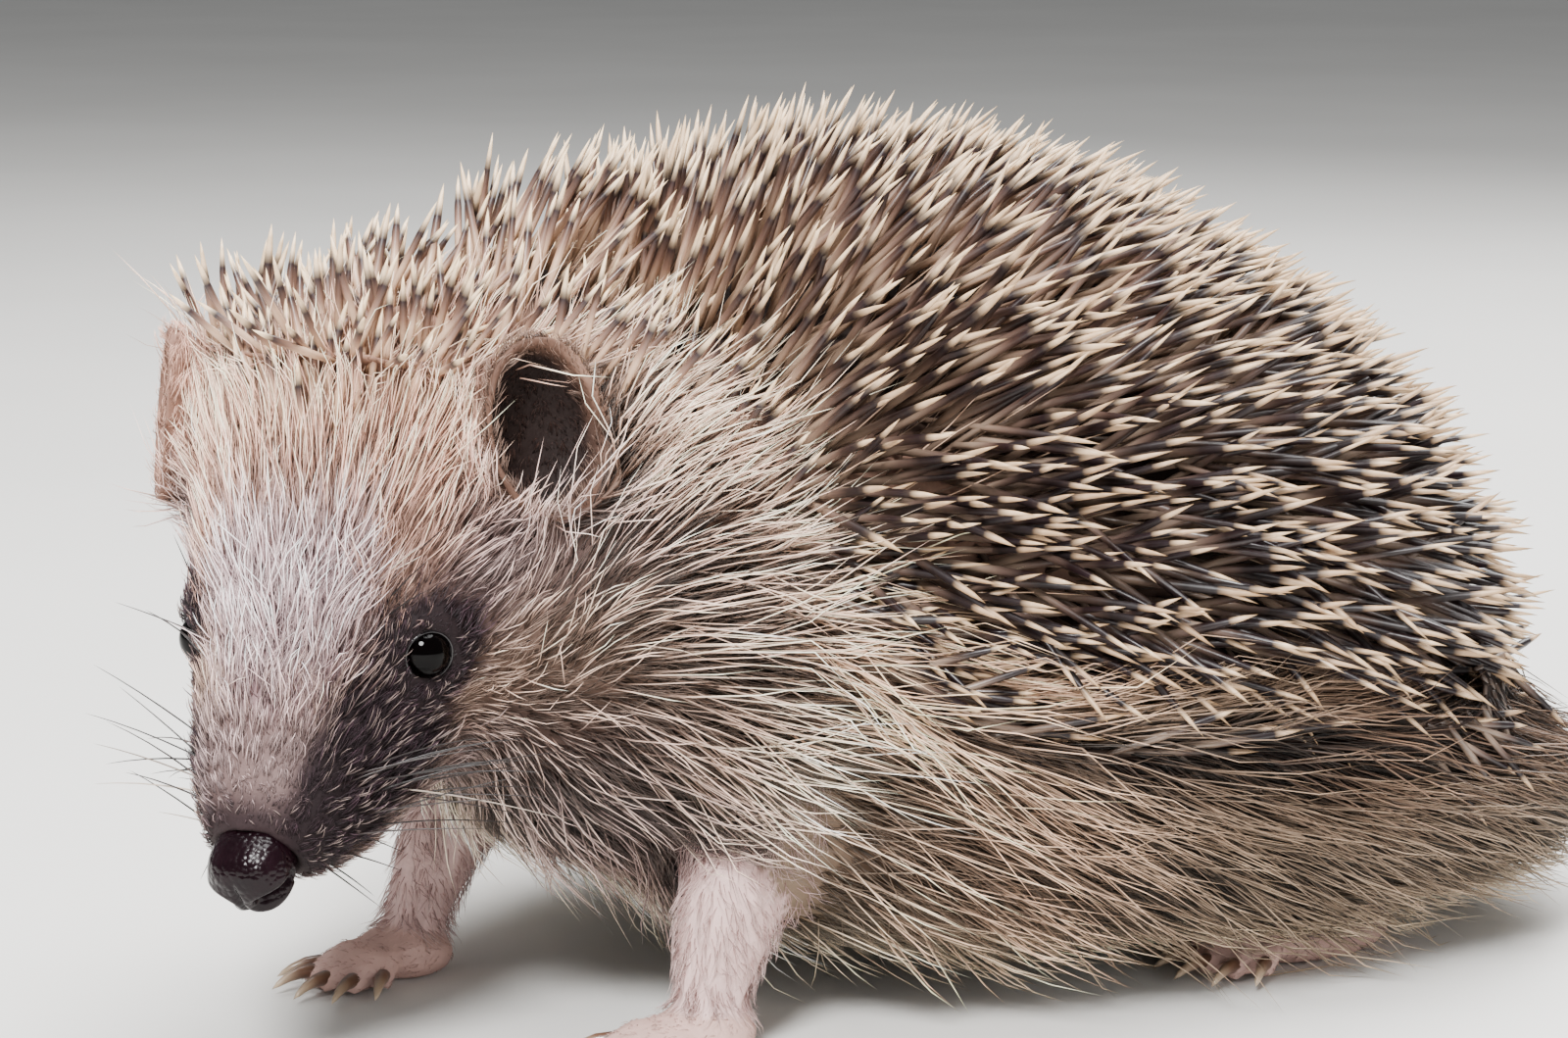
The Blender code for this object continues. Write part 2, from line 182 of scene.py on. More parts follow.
def applied(made, kind, **settings):
    modifier = made.modifiers.new(kind.title(), kind)
    for name, value in settings.items():
        setattr(modifier, name, value)
    graph = bpy.context.evaluated_depsgraph_get()
    mesh = bpy.data.meshes.new_from_object(made.evaluated_get(graph))
    made.modifiers.clear()
    old = made.data
    made.data = mesh
    bpy.data.meshes.remove(old)


def setColours(mesh, colours):
    flat = np.ones((len(mesh.vertices), 4), np.float32)
    flat[:, :3] = colours
    mesh.attributes.new("strandColour", "FLOAT_COLOR", "POINT").data.foreach_set("color", flat.ravel())


def setValues(mesh, name, values):
    mesh.attributes.new(name, "FLOAT", "POINT").data.foreach_set("value", np.asarray(values, np.float32))


def srgb(red, green, blue):
    return np.array([(c / 255) ** 2.2 for c in (red, green, blue)])


# Where each kind of coat grows

flesh, fleshOwner = treeOf(fleshNodes)
mantle, _ = treeOf(["spiny_back"])
haunchHeight = 15  # the hind leg above it counts as trunk
rumpMiddle, middleHeight = 55, 38  # where the ways out of the rump and of the trunk start
edgeLine = (  # lower edge of the spines seen from the side: backwards, height
    (-56, 76), (-38, 72), (-32, 62), (-24, 49), (-12, 39), (5, 35), (45, 32), (70, 29), (84, 33), (100, 40),
)


def edgeHeight(y):
    return np.interp(y, *zip(*edgeLine))


def ownersAt(points):
    found = np.array([fleshOwner[flesh.find_nearest(p)[2]] for p in points])
    found[named(found, "hindleg") & (inBody(points)[:, 2] > haunchHeight)] = "trunk"
    return found


def towardsCoat(point, out, ahead, reach):  # from outside straight in to the solid coat
    return mantle.ray_cast(Vector(point + out * ahead * mm), Vector(-out), reach * mm)


def underSpines(points, normals):  # 1 where the coat of spines stands over the skin
    reach = 9 * mm
    return np.array([
        float(mantle.ray_cast(Vector(p) - Vector(n) * 1.5 * mm, n, reach)[0] is not None)
        for p, n in zip(points, normals)])


# Toes: where each one ends and which way its claw points

clawLook = {
    "feet": {  # aside and back, turn in degrees, reach, half the pad's length
        "forefoot_left": ((31, -38), 12, 13, 6.4), "forefoot_right": ((-14.5, -55), 24, 13, 6.4),
        "hindfoot_left": ((30, 46), 10, 18.5, 11.5), "hindfoot_right": ((-29, 57), -6, 18.5, 11.5),
    },
    "fan": 17, "shares": (0.76, 0.95, 1, 0.94, 0.74), "toeHeight": 2.0, "toeBase": 2.5, "footBase": 5,
    "stops": (0, 0.2, 0.45, 0.7, 0.88, 1), "width": (0.85, 0.9, 0.74, 0.52, 0.32, 0.06),
    "length": 6.4, "sunk": 0.9, "arch": 0.55, "curl": 1.5, "leastHeight": 0.3,
    "toeEnd": 0.8, "toeReach": 8, "toeWide": 2.4, "shorter": 0.93, "narrower": 0.25,
}


def toeTips():
    found = []
    footBase, toeBase = clawLook["footBase"], clawLook["toeBase"]
    for place, heading, reach, half in clawLook["feet"].values():
        for k, share in enumerate(clawLook["shares"]):
            ahead, aside = (math.radians(a) for a in (heading, heading + (k - 2) * clawLook["fan"]))
            straight, way = (np.array((math.sin(a), -math.cos(a), 0)) for a in (ahead, aside))
            root = np.array((*place, clawLook["toeHeight"])) + straight * (half - footBase) + way * toeBase
            tip = root + way * ((reach - half + footBase) * share - toeBase)
            found.append((tip * mm + bodyOrigin, way))
    return found


def blunted(points):  # the skin ends at the toe, where the claw takes over
    for tip, way in toeTips():
        out = (points - tip) @ way / mm
        aside = np.linalg.norm(points - tip - np.outer(out, way) * mm, axis=1) / mm
        end = clawLook["toeEnd"]
        far = (out > end) & (out < clawLook["toeReach"]) & (aside < clawLook["toeWide"])
        points[far] -= np.outer((out[far] - end) * clawLook["shorter"], way) * mm
        inward = (points[far] - tip) - np.outer((points[far] - tip) @ way, way)
        points[far] -= inward * clawLook["narrower"]
    return points


# The skin: one surface for all the flesh, as far inside the solids as the coat is deep

skinLook = {
    "voxel": 0.65, "swell": 0.3, "triangles": 120000,
    "coat": {  # how deep it is
        "least": 0.3, "lids": 0.35, "flank": 4.5, "hem": 6, "belly": 2, "leg": 1.3, "spines": 3.0, "all": 0.2,
    },
    "haunchDepth": 9.0, "lidOpening": 63,  # degrees from the way the eye looks
    "lidRadius": 3.05, "hiddenRadius": 2.3, "lidFold": 0.24,
    "mouthDepth": 0.9, "lipHeight": 0.25, "mouthLine": ((1.0, -13.4), (11.0, -11.6), (20.5, -8.6)),
}


def joinedFlesh():
    whole = bmesh.new()
    for name in fleshNodes:
        part = bmesh.new()
        part.from_mesh(nodes[name].data)
        bmesh.ops.remove_doubles(part, verts=part.verts, dist=0.00001)
        part.normal_update()
        for v in part.verts:
            v.co += v.normal * skinLook["swell"] * mm
        mesh = bpy.data.meshes.new("part")
        part.to_mesh(mesh)
        part.free()
        whole.from_mesh(mesh)
        bpy.data.meshes.remove(mesh)
    return addPiece("skin", whole)


def refineAround(made, places, reach, cuts):  # finer mesh where the small folds are
    shape = bmesh.new()
    shape.from_mesh(made.data)
    for _ in range(cuts):
        edges = [e for e in shape.edges if any((e.verts[0].co - at).length < reach * mm for at in places)]
        bmesh.ops.subdivide_edges(shape, edges=edges, cuts=1)
        bmesh.ops.triangulate(shape, faces=[f for f in shape.faces if len(f.verts) > 3])
    shape.to_mesh(made.data)
    shape.free()


def eyeWay(side):  # the way an eye looks, in the head's directions
    return unit(np.array((0.54, 0.76 * side, 0.36)))


def coatDepth(points, owner, covered):
    deep = skinLook["coat"]
    f, s, u = inHead(points).T
    _, y, z = inBody(points).T
    depth = np.full(len(points), deep["least"])
    head = np.isin(owner, ("head", "lower_jaw"))
    face = 0.1 + 0.4 * fade(19, 14, f) + 1.2 * fade(14, 2, f) + 1.6 * fade(0, -14, f)
    face += 1.2 * fade(14, 20, np.abs(s)) + 0.8 * fade(-12, -20, u)
    for side in (1, -1):
        gap = gapTo(points, eyeAt[side])
        face = face * fade(3.5, 9, gap) + deep["lids"] * (1 - fade(3.5, 9, gap))
    depth[head] = face[head]
    trunk = np.isin(owner, ("neck", "trunk"))
    edge = edgeHeight(y)
    flank = deep["flank"] + deep["hem"] * fade(16, 0, edge - z) - deep["belly"] * fade(14, 4, z)
    depth[trunk] = flank[trunk]
    depth[named(owner, "leg")] = deep["leg"]
    sunk = covered * fade(-42, -12, y) * fade(2, 16, z - edge)
    return depth * (1 - covered) + deep["spines"] * sunk + deep["all"]


def tucked(points):  # the haunches stay well under the spines
    found = points.copy()
    for i, place in enumerate(inBody(points)):
        over = place[2] - edgeHeight(place[1])
        wanted = skinLook["haunchDepth"] * fade(-1, 7, over) * fade(28, 45, place[1])
        if wanted == 0:
            continue
        out = unit(place - (0, min(place[1], rumpMiddle), middleHeight))
        hit = towardsCoat(points[i], out, 30, 60)
        if hit[0]:
            found[i] -= out * max(0.0, wanted - (30 - hit[3] / mm)) * mm
    return found


def shapeEyes(points):
    head = inHead(points)
    for side in (1, -1):
        centre = inHead(np.array(eyeAt[side])[None])[0]
        arm = head - centre
        reach = np.linalg.norm(arm, axis=1)
        turn = np.degrees(np.arccos(np.clip(arm @ eyeWay(side) / np.maximum(reach, 1e-6), -1, 1)))
        near = (reach < 8) & (turn < 110)
        opening = skinLook["lidOpening"]
        inner = skinLook["hiddenRadius"] + 0.82 * fade(opening - 4, opening + 1, turn)
        below = fade(0.3, -0.5, arm[:, 2] / 3)
        fold = skinLook["lidFold"] * (bump(turn, opening + 9, 6) + 0.8 * below * bump(turn, opening + 26, 5))
        wanted = np.where(turn < opening + 1, inner, np.maximum(reach, skinLook["lidRadius"]) + fold)
        scale = 1 + (wanted / np.maximum(reach, 1e-6) - 1) * fade(110, 85, turn)
        head = np.where(near[:, None], centre + arm * scale[:, None], head)
    return fromHead(head)


def shapeMouth(points, normals, owner):
    f, _, u = inHead(points).T
    height = np.interp(f, *zip(*skinLook["mouthLine"]))
    inMouth = fade(0, 3, f) * fade(21.5, 19.5, f) * np.isin(owner, ("head", "lower_jaw"))
    groove = bump(u, height, 0.6) * inMouth
    lip = bump(u, height + 1.3, 0.8) * inMouth
    push = lip * skinLook["lipHeight"] - groove * skinLook["mouthDepth"]
    return points + normals * (push * mm)[:, None]


def makeSkin():
    made = joinedFlesh()
    applied(made, "REMESH", mode="VOXEL", voxel_size=skinLook["voxel"] * mm)
    applied(made, "SMOOTH", factor=0.5, iterations=3)
    trunk = np.isin(ownersAt(threesOf(made.data.vertices, "co")), ("trunk", "neck"))
    group = made.vertex_groups.new(name="plain")  # the coat hides it, so it may be coarser
    group.add(np.flatnonzero(trunk).tolist(), 1.0, "REPLACE")
    applied(made, "TRIANGULATE")
    share = skinLook["triangles"] / len(made.data.polygons)
    applied(made, "DECIMATE", ratio=min(1.0, share), vertex_group="plain", vertex_group_factor=1.0)
    made.vertex_groups.clear()
    refineAround(made, eyeAt.values(), 6.0, 2)
    print("skin: triangles", len(made.data.polygons))
    made.data.calc_loop_triangles()
    points = threesOf(made.data.vertices, "co")
    triangles = threesOf(made.data.loop_triangles, "vertices", np.int32)
    owner = ownersAt(points)
    normals = normalsOf(points, triangles)
    covered = underSpines(points, normals)
    trunk = np.isin(owner, ("trunk", "neck")).astype(float)[:, None]
    covered = spread(covered[:, None], triangles, 6)[:, 0]
    depth = spread(coatDepth(points, owner, covered)[:, None], triangles, 8)[:, 0]
    points = tucked(points - normals * (depth * mm)[:, None])
    soft = spread(points, triangles, 25)
    points = points + (soft - points) * spread(trunk, triangles, 10)
    points = spread(points, triangles, 2)
    points[:, 2] = np.maximum(points[:, 2], 0.0)
    points = shapeMouth(points, normalsOf(points, triangles), owner)
    points = blunted(shapeEyes(points))
    made.data.vertices.foreach_set("co", points.ravel())
    made.data.update()
    made.data.shade_smooth()
    return made, points, triangles, normalsOf(points, triangles), owner, covered


skin, skinPoints, skinTriangles, skinNormals, skinOwner, skinCovered = makeSkin()
print("skin: done")


# Laying the coat: roots on the skin, then strands bent along it

skinTree = BVHTree.FromPolygons(skinPoints.tolist(), skinTriangles.tolist())
onEar = named(skinOwner, "ear_")[skinTriangles].any(axis=1)
earTree = BVHTree.FromPolygons(skinPoints.tolist(), skinTriangles[onEar].tolist())
corners = [skinPoints[skinTriangles[:, k]] for k in range(3)]
skinArea = np.linalg.norm(np.cross(corners[1] - corners[0], corners[2] - corners[0]), axis=1) / 2 / mm**2


def rootsOn(thickness, seed):  # places on the skin, as many to the square millimetre as thickness says
    rng = np.random.default_rng(seed)
    share = skinArea * thickness[skinTriangles].mean(axis=1)
    pick = rng.choice(len(share), int(share.sum()), p=share / share.sum())
    u, v = rng.random((2, len(pick), 1))
    u, v = np.where(u + v > 1, 1 - u, u), np.where(u + v > 1, 1 - v, v)
    a, b, c = (skinPoints[skinTriangles[pick, k]] for k in range(3))
    na, nb, nc = (skinNormals[skinTriangles[pick, k]] for k in range(3))
    return a + (b - a) * u + (c - a) * v, unit(na * (1 - u - v) + nb * u + nc * v), rng


def evenly(places, gap):  # leaves out places that stand too close to an earlier one
    kept, cells = [], {}
    for i, p in enumerate(places):
        cell = tuple((p // gap).astype(int))
        around = [
            cells.get((cell[0] + x, cell[1] + y, cell[2] + z), ())
            for x in (-1, 0, 1) for y in (-1, 0, 1) for z in (-1, 0, 1)
        ]
        if all(sum((p - places[j]) ** 2) > gap * gap for near in around for j in near):
            cells.setdefault(cell, []).append(i)
            kept.append(i)
    return np.array(kept)


def strandForm(sides, stops):  # one closed point, cut into rings at the stops
    stops, shape = np.array(stops), bmesh.new()
    bmesh.ops.create_cone(shape, cap_ends=True, segments=sides, radius1=1, radius2=0, depth=1)
    bmesh.ops.remove_doubles(shape, verts=shape.verts, dist=0.0001)
    bmesh.ops.translate(shape, verts=shape.verts, vec=(0, 0, 0.5))
    for stop in stops[1:-1]:
        every = shape.verts[:] + shape.edges[:] + shape.faces[:]
        bmesh.ops.bisect_plane(shape, geom=every, plane_co=(0, 0, stop), plane_no=(0, 0, 1))
    bmesh.ops.triangulate(shape, faces=shape.faces)
    bmesh.ops.recalc_face_normals(shape, faces=shape.faces)
    shape.verts.index_update()
    places = np.array([v.co[:] for v in shape.verts])
    faces = np.array([[v.index for v in f.verts] for f in shape.faces])
    shape.free()
    level = np.abs(places[:, 2:3] - stops).argmin(axis=1)
    return stops, level, np.arctan2(places[:, 1], places[:, 0]), faces


def patchOf(roots):  # a root's place on an unwrap of the skin: the head round its length, then the body
    f, s, u = inHead(roots).T
    x, y, z = inBody(roots).T
    onHead = (f > -40) & (np.hypot(s, u) < 34)
    headPatch = columns(np.arctan2(s, u + 5) / math.tau * 0.46 + 0.25, (f + 45) / 80 * 0.96 + 0.02)
    bodyPatch = columns(np.arctan2(x, z - 40) / math.tau * 0.46 + 0.75, (y + 80) / 200 * 0.96 + 0.02)
    return np.clip(np.where(onHead[:, None], headPatch, bodyPatch), 0.004, 0.996)


def strandMesh(name, form, paths, radii, normals, colours=None, **values):
    stops, level, turn, faces = form
    count, size = len(paths), len(level)
    along = unit(np.gradient(paths, axis=1))
    across = unit(np.cross(along, normals[:, None]))
    over = np.cross(across, along)
    ring = np.cos(turn)[None, :, None] * across[:, level] + np.sin(turn)[None, :, None] * over[:, level]
    points = paths[:, level] + ring * radii[:, level, None]
    every = (faces[None] + np.arange(count)[:, None, None] * size).reshape(-1, 3)
    mesh = bpy.data.meshes.new(name)
    mesh.from_pydata(points.reshape(-1, 3), [], every)
    spot = columns(np.abs(turn) / math.pi, stops[level]) * 0.003 - 0.0015
    patch = (patchOf(paths[:, 0])[:, None] + spot[None]).reshape(-1, 2)
    mesh.uv_layers.new(name="OFBake").data.foreach_set("uv", patch[every.ravel()].astype(np.float32).ravel())
    if colours is not None:
        setColours(mesh, colours[:, level].reshape(-1, 3))
    else:
        setValues(mesh, "along", np.tile(stops[level], count))
    for word, each in values.items():
        setValues(mesh, word, np.repeat(each, size))
    mesh.shade_smooth()
    return linked(name, mesh)


# Spines, one closed needle each, over the back and the crown

spineLook = {
    "gap": 1.66, "sides": 6, "stops": (0, 0.1, 0.4, 0.72, 0.9, 1),
    "width": (0.28, 0.38, 0.50, 0.48, 0.26, 0.02),  # half the thickness at each stop
    "length": 22.0, "crownLength": 19.0, "sway": 25.0, "stray": 1.8, "perPiece": 3000,
    "earGap": 2.6, "mostAcross": 0.72,  # on the crown, none lies further across the head
    "hem": {"all": -2.5, "flank": 1.2, "rump": 2.8},  # above the edge line
    "tries": 3.0, "seed": 11,
}


def spineField():  # 1 where spines grow: under the solid's shell, and a little way down the forehead
    f, s, u = inHead(skinPoints).T
    x, y, z = inBody(skinPoints).T
    uneven = 1.6 * np.sin(1.9 * s) + 1.2 * np.sin(4.3 * s + 1)
    front = fade(0, -2.5, f + 17 + 0.035 * s**2 + uneven) * (u > 8) * np.isin(skinOwner, ("head", "neck"))
    corner, hem = fade(54, 62, y) * fade(24, 34, np.abs(x)), spineLook["hem"]
    lift = hem["flank"] * fade(10, 30, y) * fade(82, 70, y) + hem["rump"] * corner + hem["all"]
    over = (z > edgeHeight(y) + lift) | (u > 10)
    body = skinCovered * over * np.isin(skinOwner, ("head", "neck", "trunk"))
    return body, front * (np.abs(s) < 20)


def coatNormals(roots, normals):  # the way out of the solid coat, which has no ledges
    found = normals.copy()
    for i, (p, place) in enumerate(zip(roots, inBody(roots))):
        out = unit(place - (0, min(max(place[1], -35), rumpMiddle), middleHeight))
        hit = towardsCoat(p, out, 40, 50)
        if hit[0] and hit[1].dot(out) > 0.6:
            found[i] = unit(np.array(hit[1]) + 1.2 * out * (place[1] > 30))
        elif place[1] > -45:
            found[i] = out
    return found


def belowTips(places, normals):  # from each place out to the solid coat's surface
    found = []
    for p, n in zip(places, normals):
        hit = towardsCoat(p, n, 25, 45)
        found.append(25 - hit[3] / mm if hit[0] else -3.0)
    return np.array(found)


def spineWays(roots, normals, rng):
    f, s, _ = inHead(roots).T
    x, y, z = inBody(roots).T
    crown = fade(-18, -42, y) * fade(50, 64, z)
    top = fade(58, 88, z)
    brow = fade(-32, -22, f) * crown
    edge = fade(14, 2, z - edgeHeight(y))
    rump = fade(62, 88, y)
    low = edge * fade(0, 25, y)
    down = 0.32 * (1 - top) + 1.3 * rump + 0.6 * low
    back = columns((0.1 + 0.3 * low) * np.sign(x), 1 - 0.75 * rump, -down)
    fan = columns(-1.0, s * 0.035, 0.4) @ headAxes
    way = unit(blend(back, fan, crown))
    swing = np.clip(rng.normal(0, spineLook["sway"], len(x)), -50, 50) * (1 - 0.6 * brow)
    flat = turned(unit(laid(way, normals)), normals, np.radians(swing)[:, None])
    length = spineLook["length"] + (spineLook["crownLength"] - spineLook["length"]) * crown
    length = length * (1 - 0.26 * edge) * (1 - 0.12 * brow) * (1 - 0.2 * rump) * rng.normal(1, 0.09, len(x))
    stray = np.minimum(1.0 + rng.normal(0, spineLook["stray"], len(x)), 3.2)
    rise = np.full(len(x), 0.6)
    for _ in range(4):  # the tips come out about where the solid coat ends
        tips = roots + lifted(flat, normals, rise) * (length * mm)[:, None]
        short = belowTips(tips, normals) + stray
        rise = np.clip(rise + 0.8 * short / length, 0.5 * brow - 0.05, 1.2 - 0.8 * edge - 0.3 * rump)
    ways = lifted(flat, normals, rise)
    ways[:, 2] = np.minimum(ways[:, 2], 1.2 - 1.25 * edge * fade(20, 50, y))
    # the last value is 1 on the crown and towards the top of the back: partly the crown's own sandier spines,
    # partly painted light from above
    return unit(ways), length, crown, 0.6 * crown + 0.4 * top * (1 - crown)


def inPieces(name, order, most, form, **arrays):
    found = []
    for number, group in enumerate(np.array_split(order, max(1, math.ceil(len(order) / most)))):
        each = {word: values[group] for word, values in arrays.items()}
        found.append(strandMesh(f"{name}_{number + 1}", form, **each))
    return found


def makeSpines(share):
    roots, normals, rng = rootsOn((share > 0.5) * spineLook["tries"], spineLook["seed"])
    kept = evenly(roots, spineLook["gap"] * mm)
    roots, normals = roots[kept], coatNormals(roots[kept], normals[kept])
    ways, length, crown, pale = spineWays(roots, normals, rng)
    stops = np.array(spineLook["stops"])
    reach = (stops[None] - 0.06) * length[:, None] * mm
    droop = -0.05 * (stops[None] ** 2) * length[:, None] * mm * rng.uniform(0.3, 1.4, (len(roots), 1))
    paths = roots[:, None] + ways[:, None] * reach[..., None] + normals[:, None] * droop[..., None]
    across = np.abs(ways @ headAxes[1]) * (crown > 0.3)
    clear = spineLook["earGap"] * mm
    kept = (across < spineLook["mostAcross"]) & np.array([
        all((earTree.find_nearest(p)[3] or 1) > clear for p in path[2:].tolist()) for path in paths])
    paths, roots, normals, crown, pale = (every[kept] for every in (paths, roots, normals, crown, pale))
    stout = rng.normal(1, 0.1, (len(roots), 1)) * (1 - 0.12 * crown[:, None])
    radii = np.array(spineLook["width"])[None] * stout * mm
    order = np.argsort(inBody(roots)[:, 1])
    made = inPieces(
        "spines", order, spineLook["perPiece"], strandForm(spineLook["sides"], stops),
        paths=paths, radii=radii, normals=normals, tone=rng.random(len(roots)), pale=pale)
    print("spines:", len(roots), "in", len(made), "pieces")
    return made


backSpines, browSpines = spineField()
spineShare = np.maximum(backSpines, browSpines)
spines = makeSpines(spineShare)


# Markings, the same on the skin and on the coat: the colour at a hair's root and at its tip. Two layers are
# painted shade: a band along the spines' lower edge, and in part the dark inside of the ears

paints = {
    "neck": ((36, 25, 19), (224, 190, 167)), "flank": ((24, 17, 13), (118, 104, 91)),
    "rear": ((20, 16, 12), (106, 95, 83)), "belly": ((84, 72, 60), (190, 175, 155)),
    "throat": ((124, 108, 94), (236, 224, 206)), "cheek": ((58, 43, 36), (222, 194, 178)),
    "temple": ((66, 52, 50), (200, 178, 174)), "forehead": ((106, 84, 76), (244, 200, 182)),
    "brow": ((108, 86, 88), (242, 220, 220)), "muzzleTop": ((88, 74, 72), (180, 160, 158)),
    "dark": ((19, 12, 15), (58, 44, 50)), "chin": ((40, 29, 28), (136, 120, 116)),
    "leg": ((176, 142, 138), (238, 214, 210)), "foot": ((170, 136, 130), (214, 188, 180)),
    # the inside of each ear: partly its own darker colour, partly painted shade of its hollow
    "ear": ((64, 46, 39), (184, 156, 142)), "earInside": ((13, 8, 7), (66, 44, 37)),
    # painted shade under the overhang of the spines
    "shade": ((22, 15, 12), (78, 62, 53)),
}
furRichness = 1.3  # the studio light pales the coat


def markings(points, owner, hollow):
    f, s, u = inHead(points).T
    x, y, z = inBody(points).T
    bridge = np.interp(f, (0, 4, 10, 16, 21), (10.5, 8.6, 6.6, 5.2, 4.2)) + 2.6 * (s < 0)  # half the pale strip
    far = (s < 0) * 1.0
    s = np.abs(s)
    head = fade(-46, -34, f) * np.isin(owner, ("head", "lower_jaw", "neck"))
    ears = named(owner, "ear_")
    eyeGap = np.hypot(np.hypot(f + 0.2, (s - 13.0) * 0.7), (u + 0.1) * 1.05)
    layers = [
        ("flank", fade(-34, 12, y)), ("rear", fade(40, 85, y)),
        # painted shade: a dark band of hair along the lower edge of the spines, where their overhang shades it
        ("shade", 0.85 * fade(13, 1, np.abs(edgeHeight(y) - z)) * fade(-20, 30, y)),
        ("belly", fade(20, 13, z) * fade(42, 30, np.abs(x))),
        ("throat", fade(42, 30, z) * fade(-18, -38, y) * (1 - head * 0.6)),
        ("cheek", head), ("throat", head * fade(-17, -23, u) * fade(8, -6, f)),
        ("temple", head * fade(-22, -12, f) * fade(-8, 0, u) * fade(10, 16, s)),
        ("forehead", head * fade(1, 10, u) * fade(22, 15, s)),
        ("brow", head * fade(-12, -2, f) * fade(2, 6, u) * fade(11, 7, s)),
        ("muzzleTop", head * fade(9, 15, f) * fade(-4, 0, u)),
        ("chin", head * fade(-6, 4, f) * fade(-9, -13, u)),
        ("dark", head * fade(0, 6, f) * fade(-1.4, 1.4, s - bridge) * fade(-13, -8, u)),
        ("dark", head * fade(8.4, 5.4, eyeGap)),
        ("dark", head * fade(18, 22.5, f) * 0.9),
        ("leg", named(owner, "leg")), ("foot", named(owner, "foot")),
        # the inside of the ears: partly their own darker colour, partly painted shade, darker from the rim into
        # the hollow
        ("ear", ears), ("forehead", 0.85 * ears * far), ("earInside", hollow),
    ]
    root, tip = (np.tile(srgb(*paints["neck"][k]), (len(points), 1)) for k in (0, 1))
    for name, share in layers:
        root = blend(root, srgb(*paints[name][0]), share)
        tip = blend(tip, srgb(*paints[name][1]), share)
    rich, found = furRichness, []
    for shade in (root, tip):
        plain = shade.mean(axis=1, keepdims=True)
        found.append(np.clip(plain * (1 - rich) + shade * rich, 0.002, 0.95))
    return found


# The lie of the fur: where, which way it runs, how long it is and how far it stands up
# On the head: forwards, aside and up from between the eyes. On the body: aside, backwards and up.

headLie = (
    ((21, 0, 2), (-1, 0, 0.1), 0.8, 24), ((21, 6, -6), (-1, 0.2, 0), 1.2, 28),
    ((15, 0, 5), (-1, 0, 0.2), 2.6, 22), ((10, 0, 7), (-1, 0, 0.2), 6.0, 22),
    ((14, 10, -5), (-1, 0.3, 0), 2.6, 28),
    ((5, 0, 9), (-1, 0, 0.2), 8.0, 21), ((-2, 8, 11), (-1, 0.2, 0.3), 8.5, 22),
    ((1, 16, 5), (-1, 0.3, 0.4), 3.0, 18), ((7, 13, -2), (-1, 0.3, -0.1), 2.2, 20),
    ((-6, 19, 0), (-1, 0.4, -0.1), 5.0, 22), ((1, 15, -6), (-1, 0.3, -0.35), 3.0, 20),
    ((-14, 0, 16), (-1, 0, 0), 9, 16), ((-14, 14, 13), (-1, 0.2, 0), 9, 18),
    ((-26, 0, 19), (-1, 0, 0), 9, 22), ((-24, 14, 17), (-1, 0.15, 0.1), 8, 17),
    ((-14, 18, 12), (-1, 0.1, 0.2), 8, 18),
    ((-17, 24, -4), (-1, 0.3, 0.05), 7.5, 22),
    ((-10, 20, -13), (-0.9, 0.3, -0.5), 11, 22), ((2, 13, -15), (-1, 0.2, -0.5), 5, 20),
    ((12, 5, -15), (-1, 0.1, -0.2), 2.5, 18), ((0, 0, -22), (-1, 0, -0.4), 7, 20),
    ((-14, 0, -26), (-0.8, 0, -0.6), 11, 22), ((-28, 25, -8), (-0.9, 0.3, -0.35), 16, 22),
    ((-30, 26, 6), (-1, 0.4, 0.05), 13, 26), ((-30, 20, 14), (-1, 0.3, 0.3), 12, 28),
)
earLie = (  # before the near ear, then before the far one
    ((-17, 21, 7), (-1, 0.15, 0.3), 5.5, 18), ((-17, -22, 6), (-1, -0.2, 0.3), 7, 24),
    ((-13, -18, 12), (-1, -0.1, 0.2), 5, 15), ((-22, -18, 14), (-1, -0.1, 0.2), 5, 15),
)
bodyLie = (
    ((30, -40, 70), (0.1, 1, 0.35), 18, 20), ((37, -42, 52), (0.15, 1, -0.05), 21, 19),
    ((35, -42, 36), (0.05, 1, -0.45), 19, 20), ((18, -58, 26), (0, 0.9, -0.7), 16, 22),
    ((0, -62, 24), (0, 0.8, -0.8), 14, 22), ((0, -38, 14), (0, 1, -0.3), 12, 20),
    ((44, -14, 38), (0.1, 1, -0.35), 20, 18), ((46, -10, 24), (0.05, 1, -0.55), 18, 18),
    ((50, 20, 28), (0.05, 1, -0.4), 20, 17), ((46, 20, 16), (0, 1, -0.55), 16, 18),
    ((48, 55, 26), (0, 1, -0.35), 16, 17), ((42, 60, 16), (0, 1, -0.5), 13, 18),
    ((36, 78, 24), (-0.1, 1, -0.5), 12, 16), ((28, 88, 22), (-0.2, 0.9, -0.6), 10, 18),
    ((0, 98, 18), (0, 0.6, -0.8), 8, 24),
    ((20, 20, 8), (0, 1, -0.1), 9, 16), ((0, 60, 8), (0, 1, 0), 8, 16),
)


def lieTable():
    rows = []
    for side in (1, -1):
        there = np.array((1, side, 1))
        rows += [(fromHead(place * there), (way * there) @ headAxes, *more) for place, way, *more in headLie]
        there = np.array((side, 1, 1))
        rows += [(place * there * mm + bodyOrigin, way * there, *more) for place, way, *more in bodyLie]
    rows += [(fromHead(place), np.array(way) @ headAxes, *more) for place, way, *more in earLie]
    return [np.array(column, float) for column in zip(*rows)]


liePlaces, lieWays, lieLengths, lieRises = lieTable()


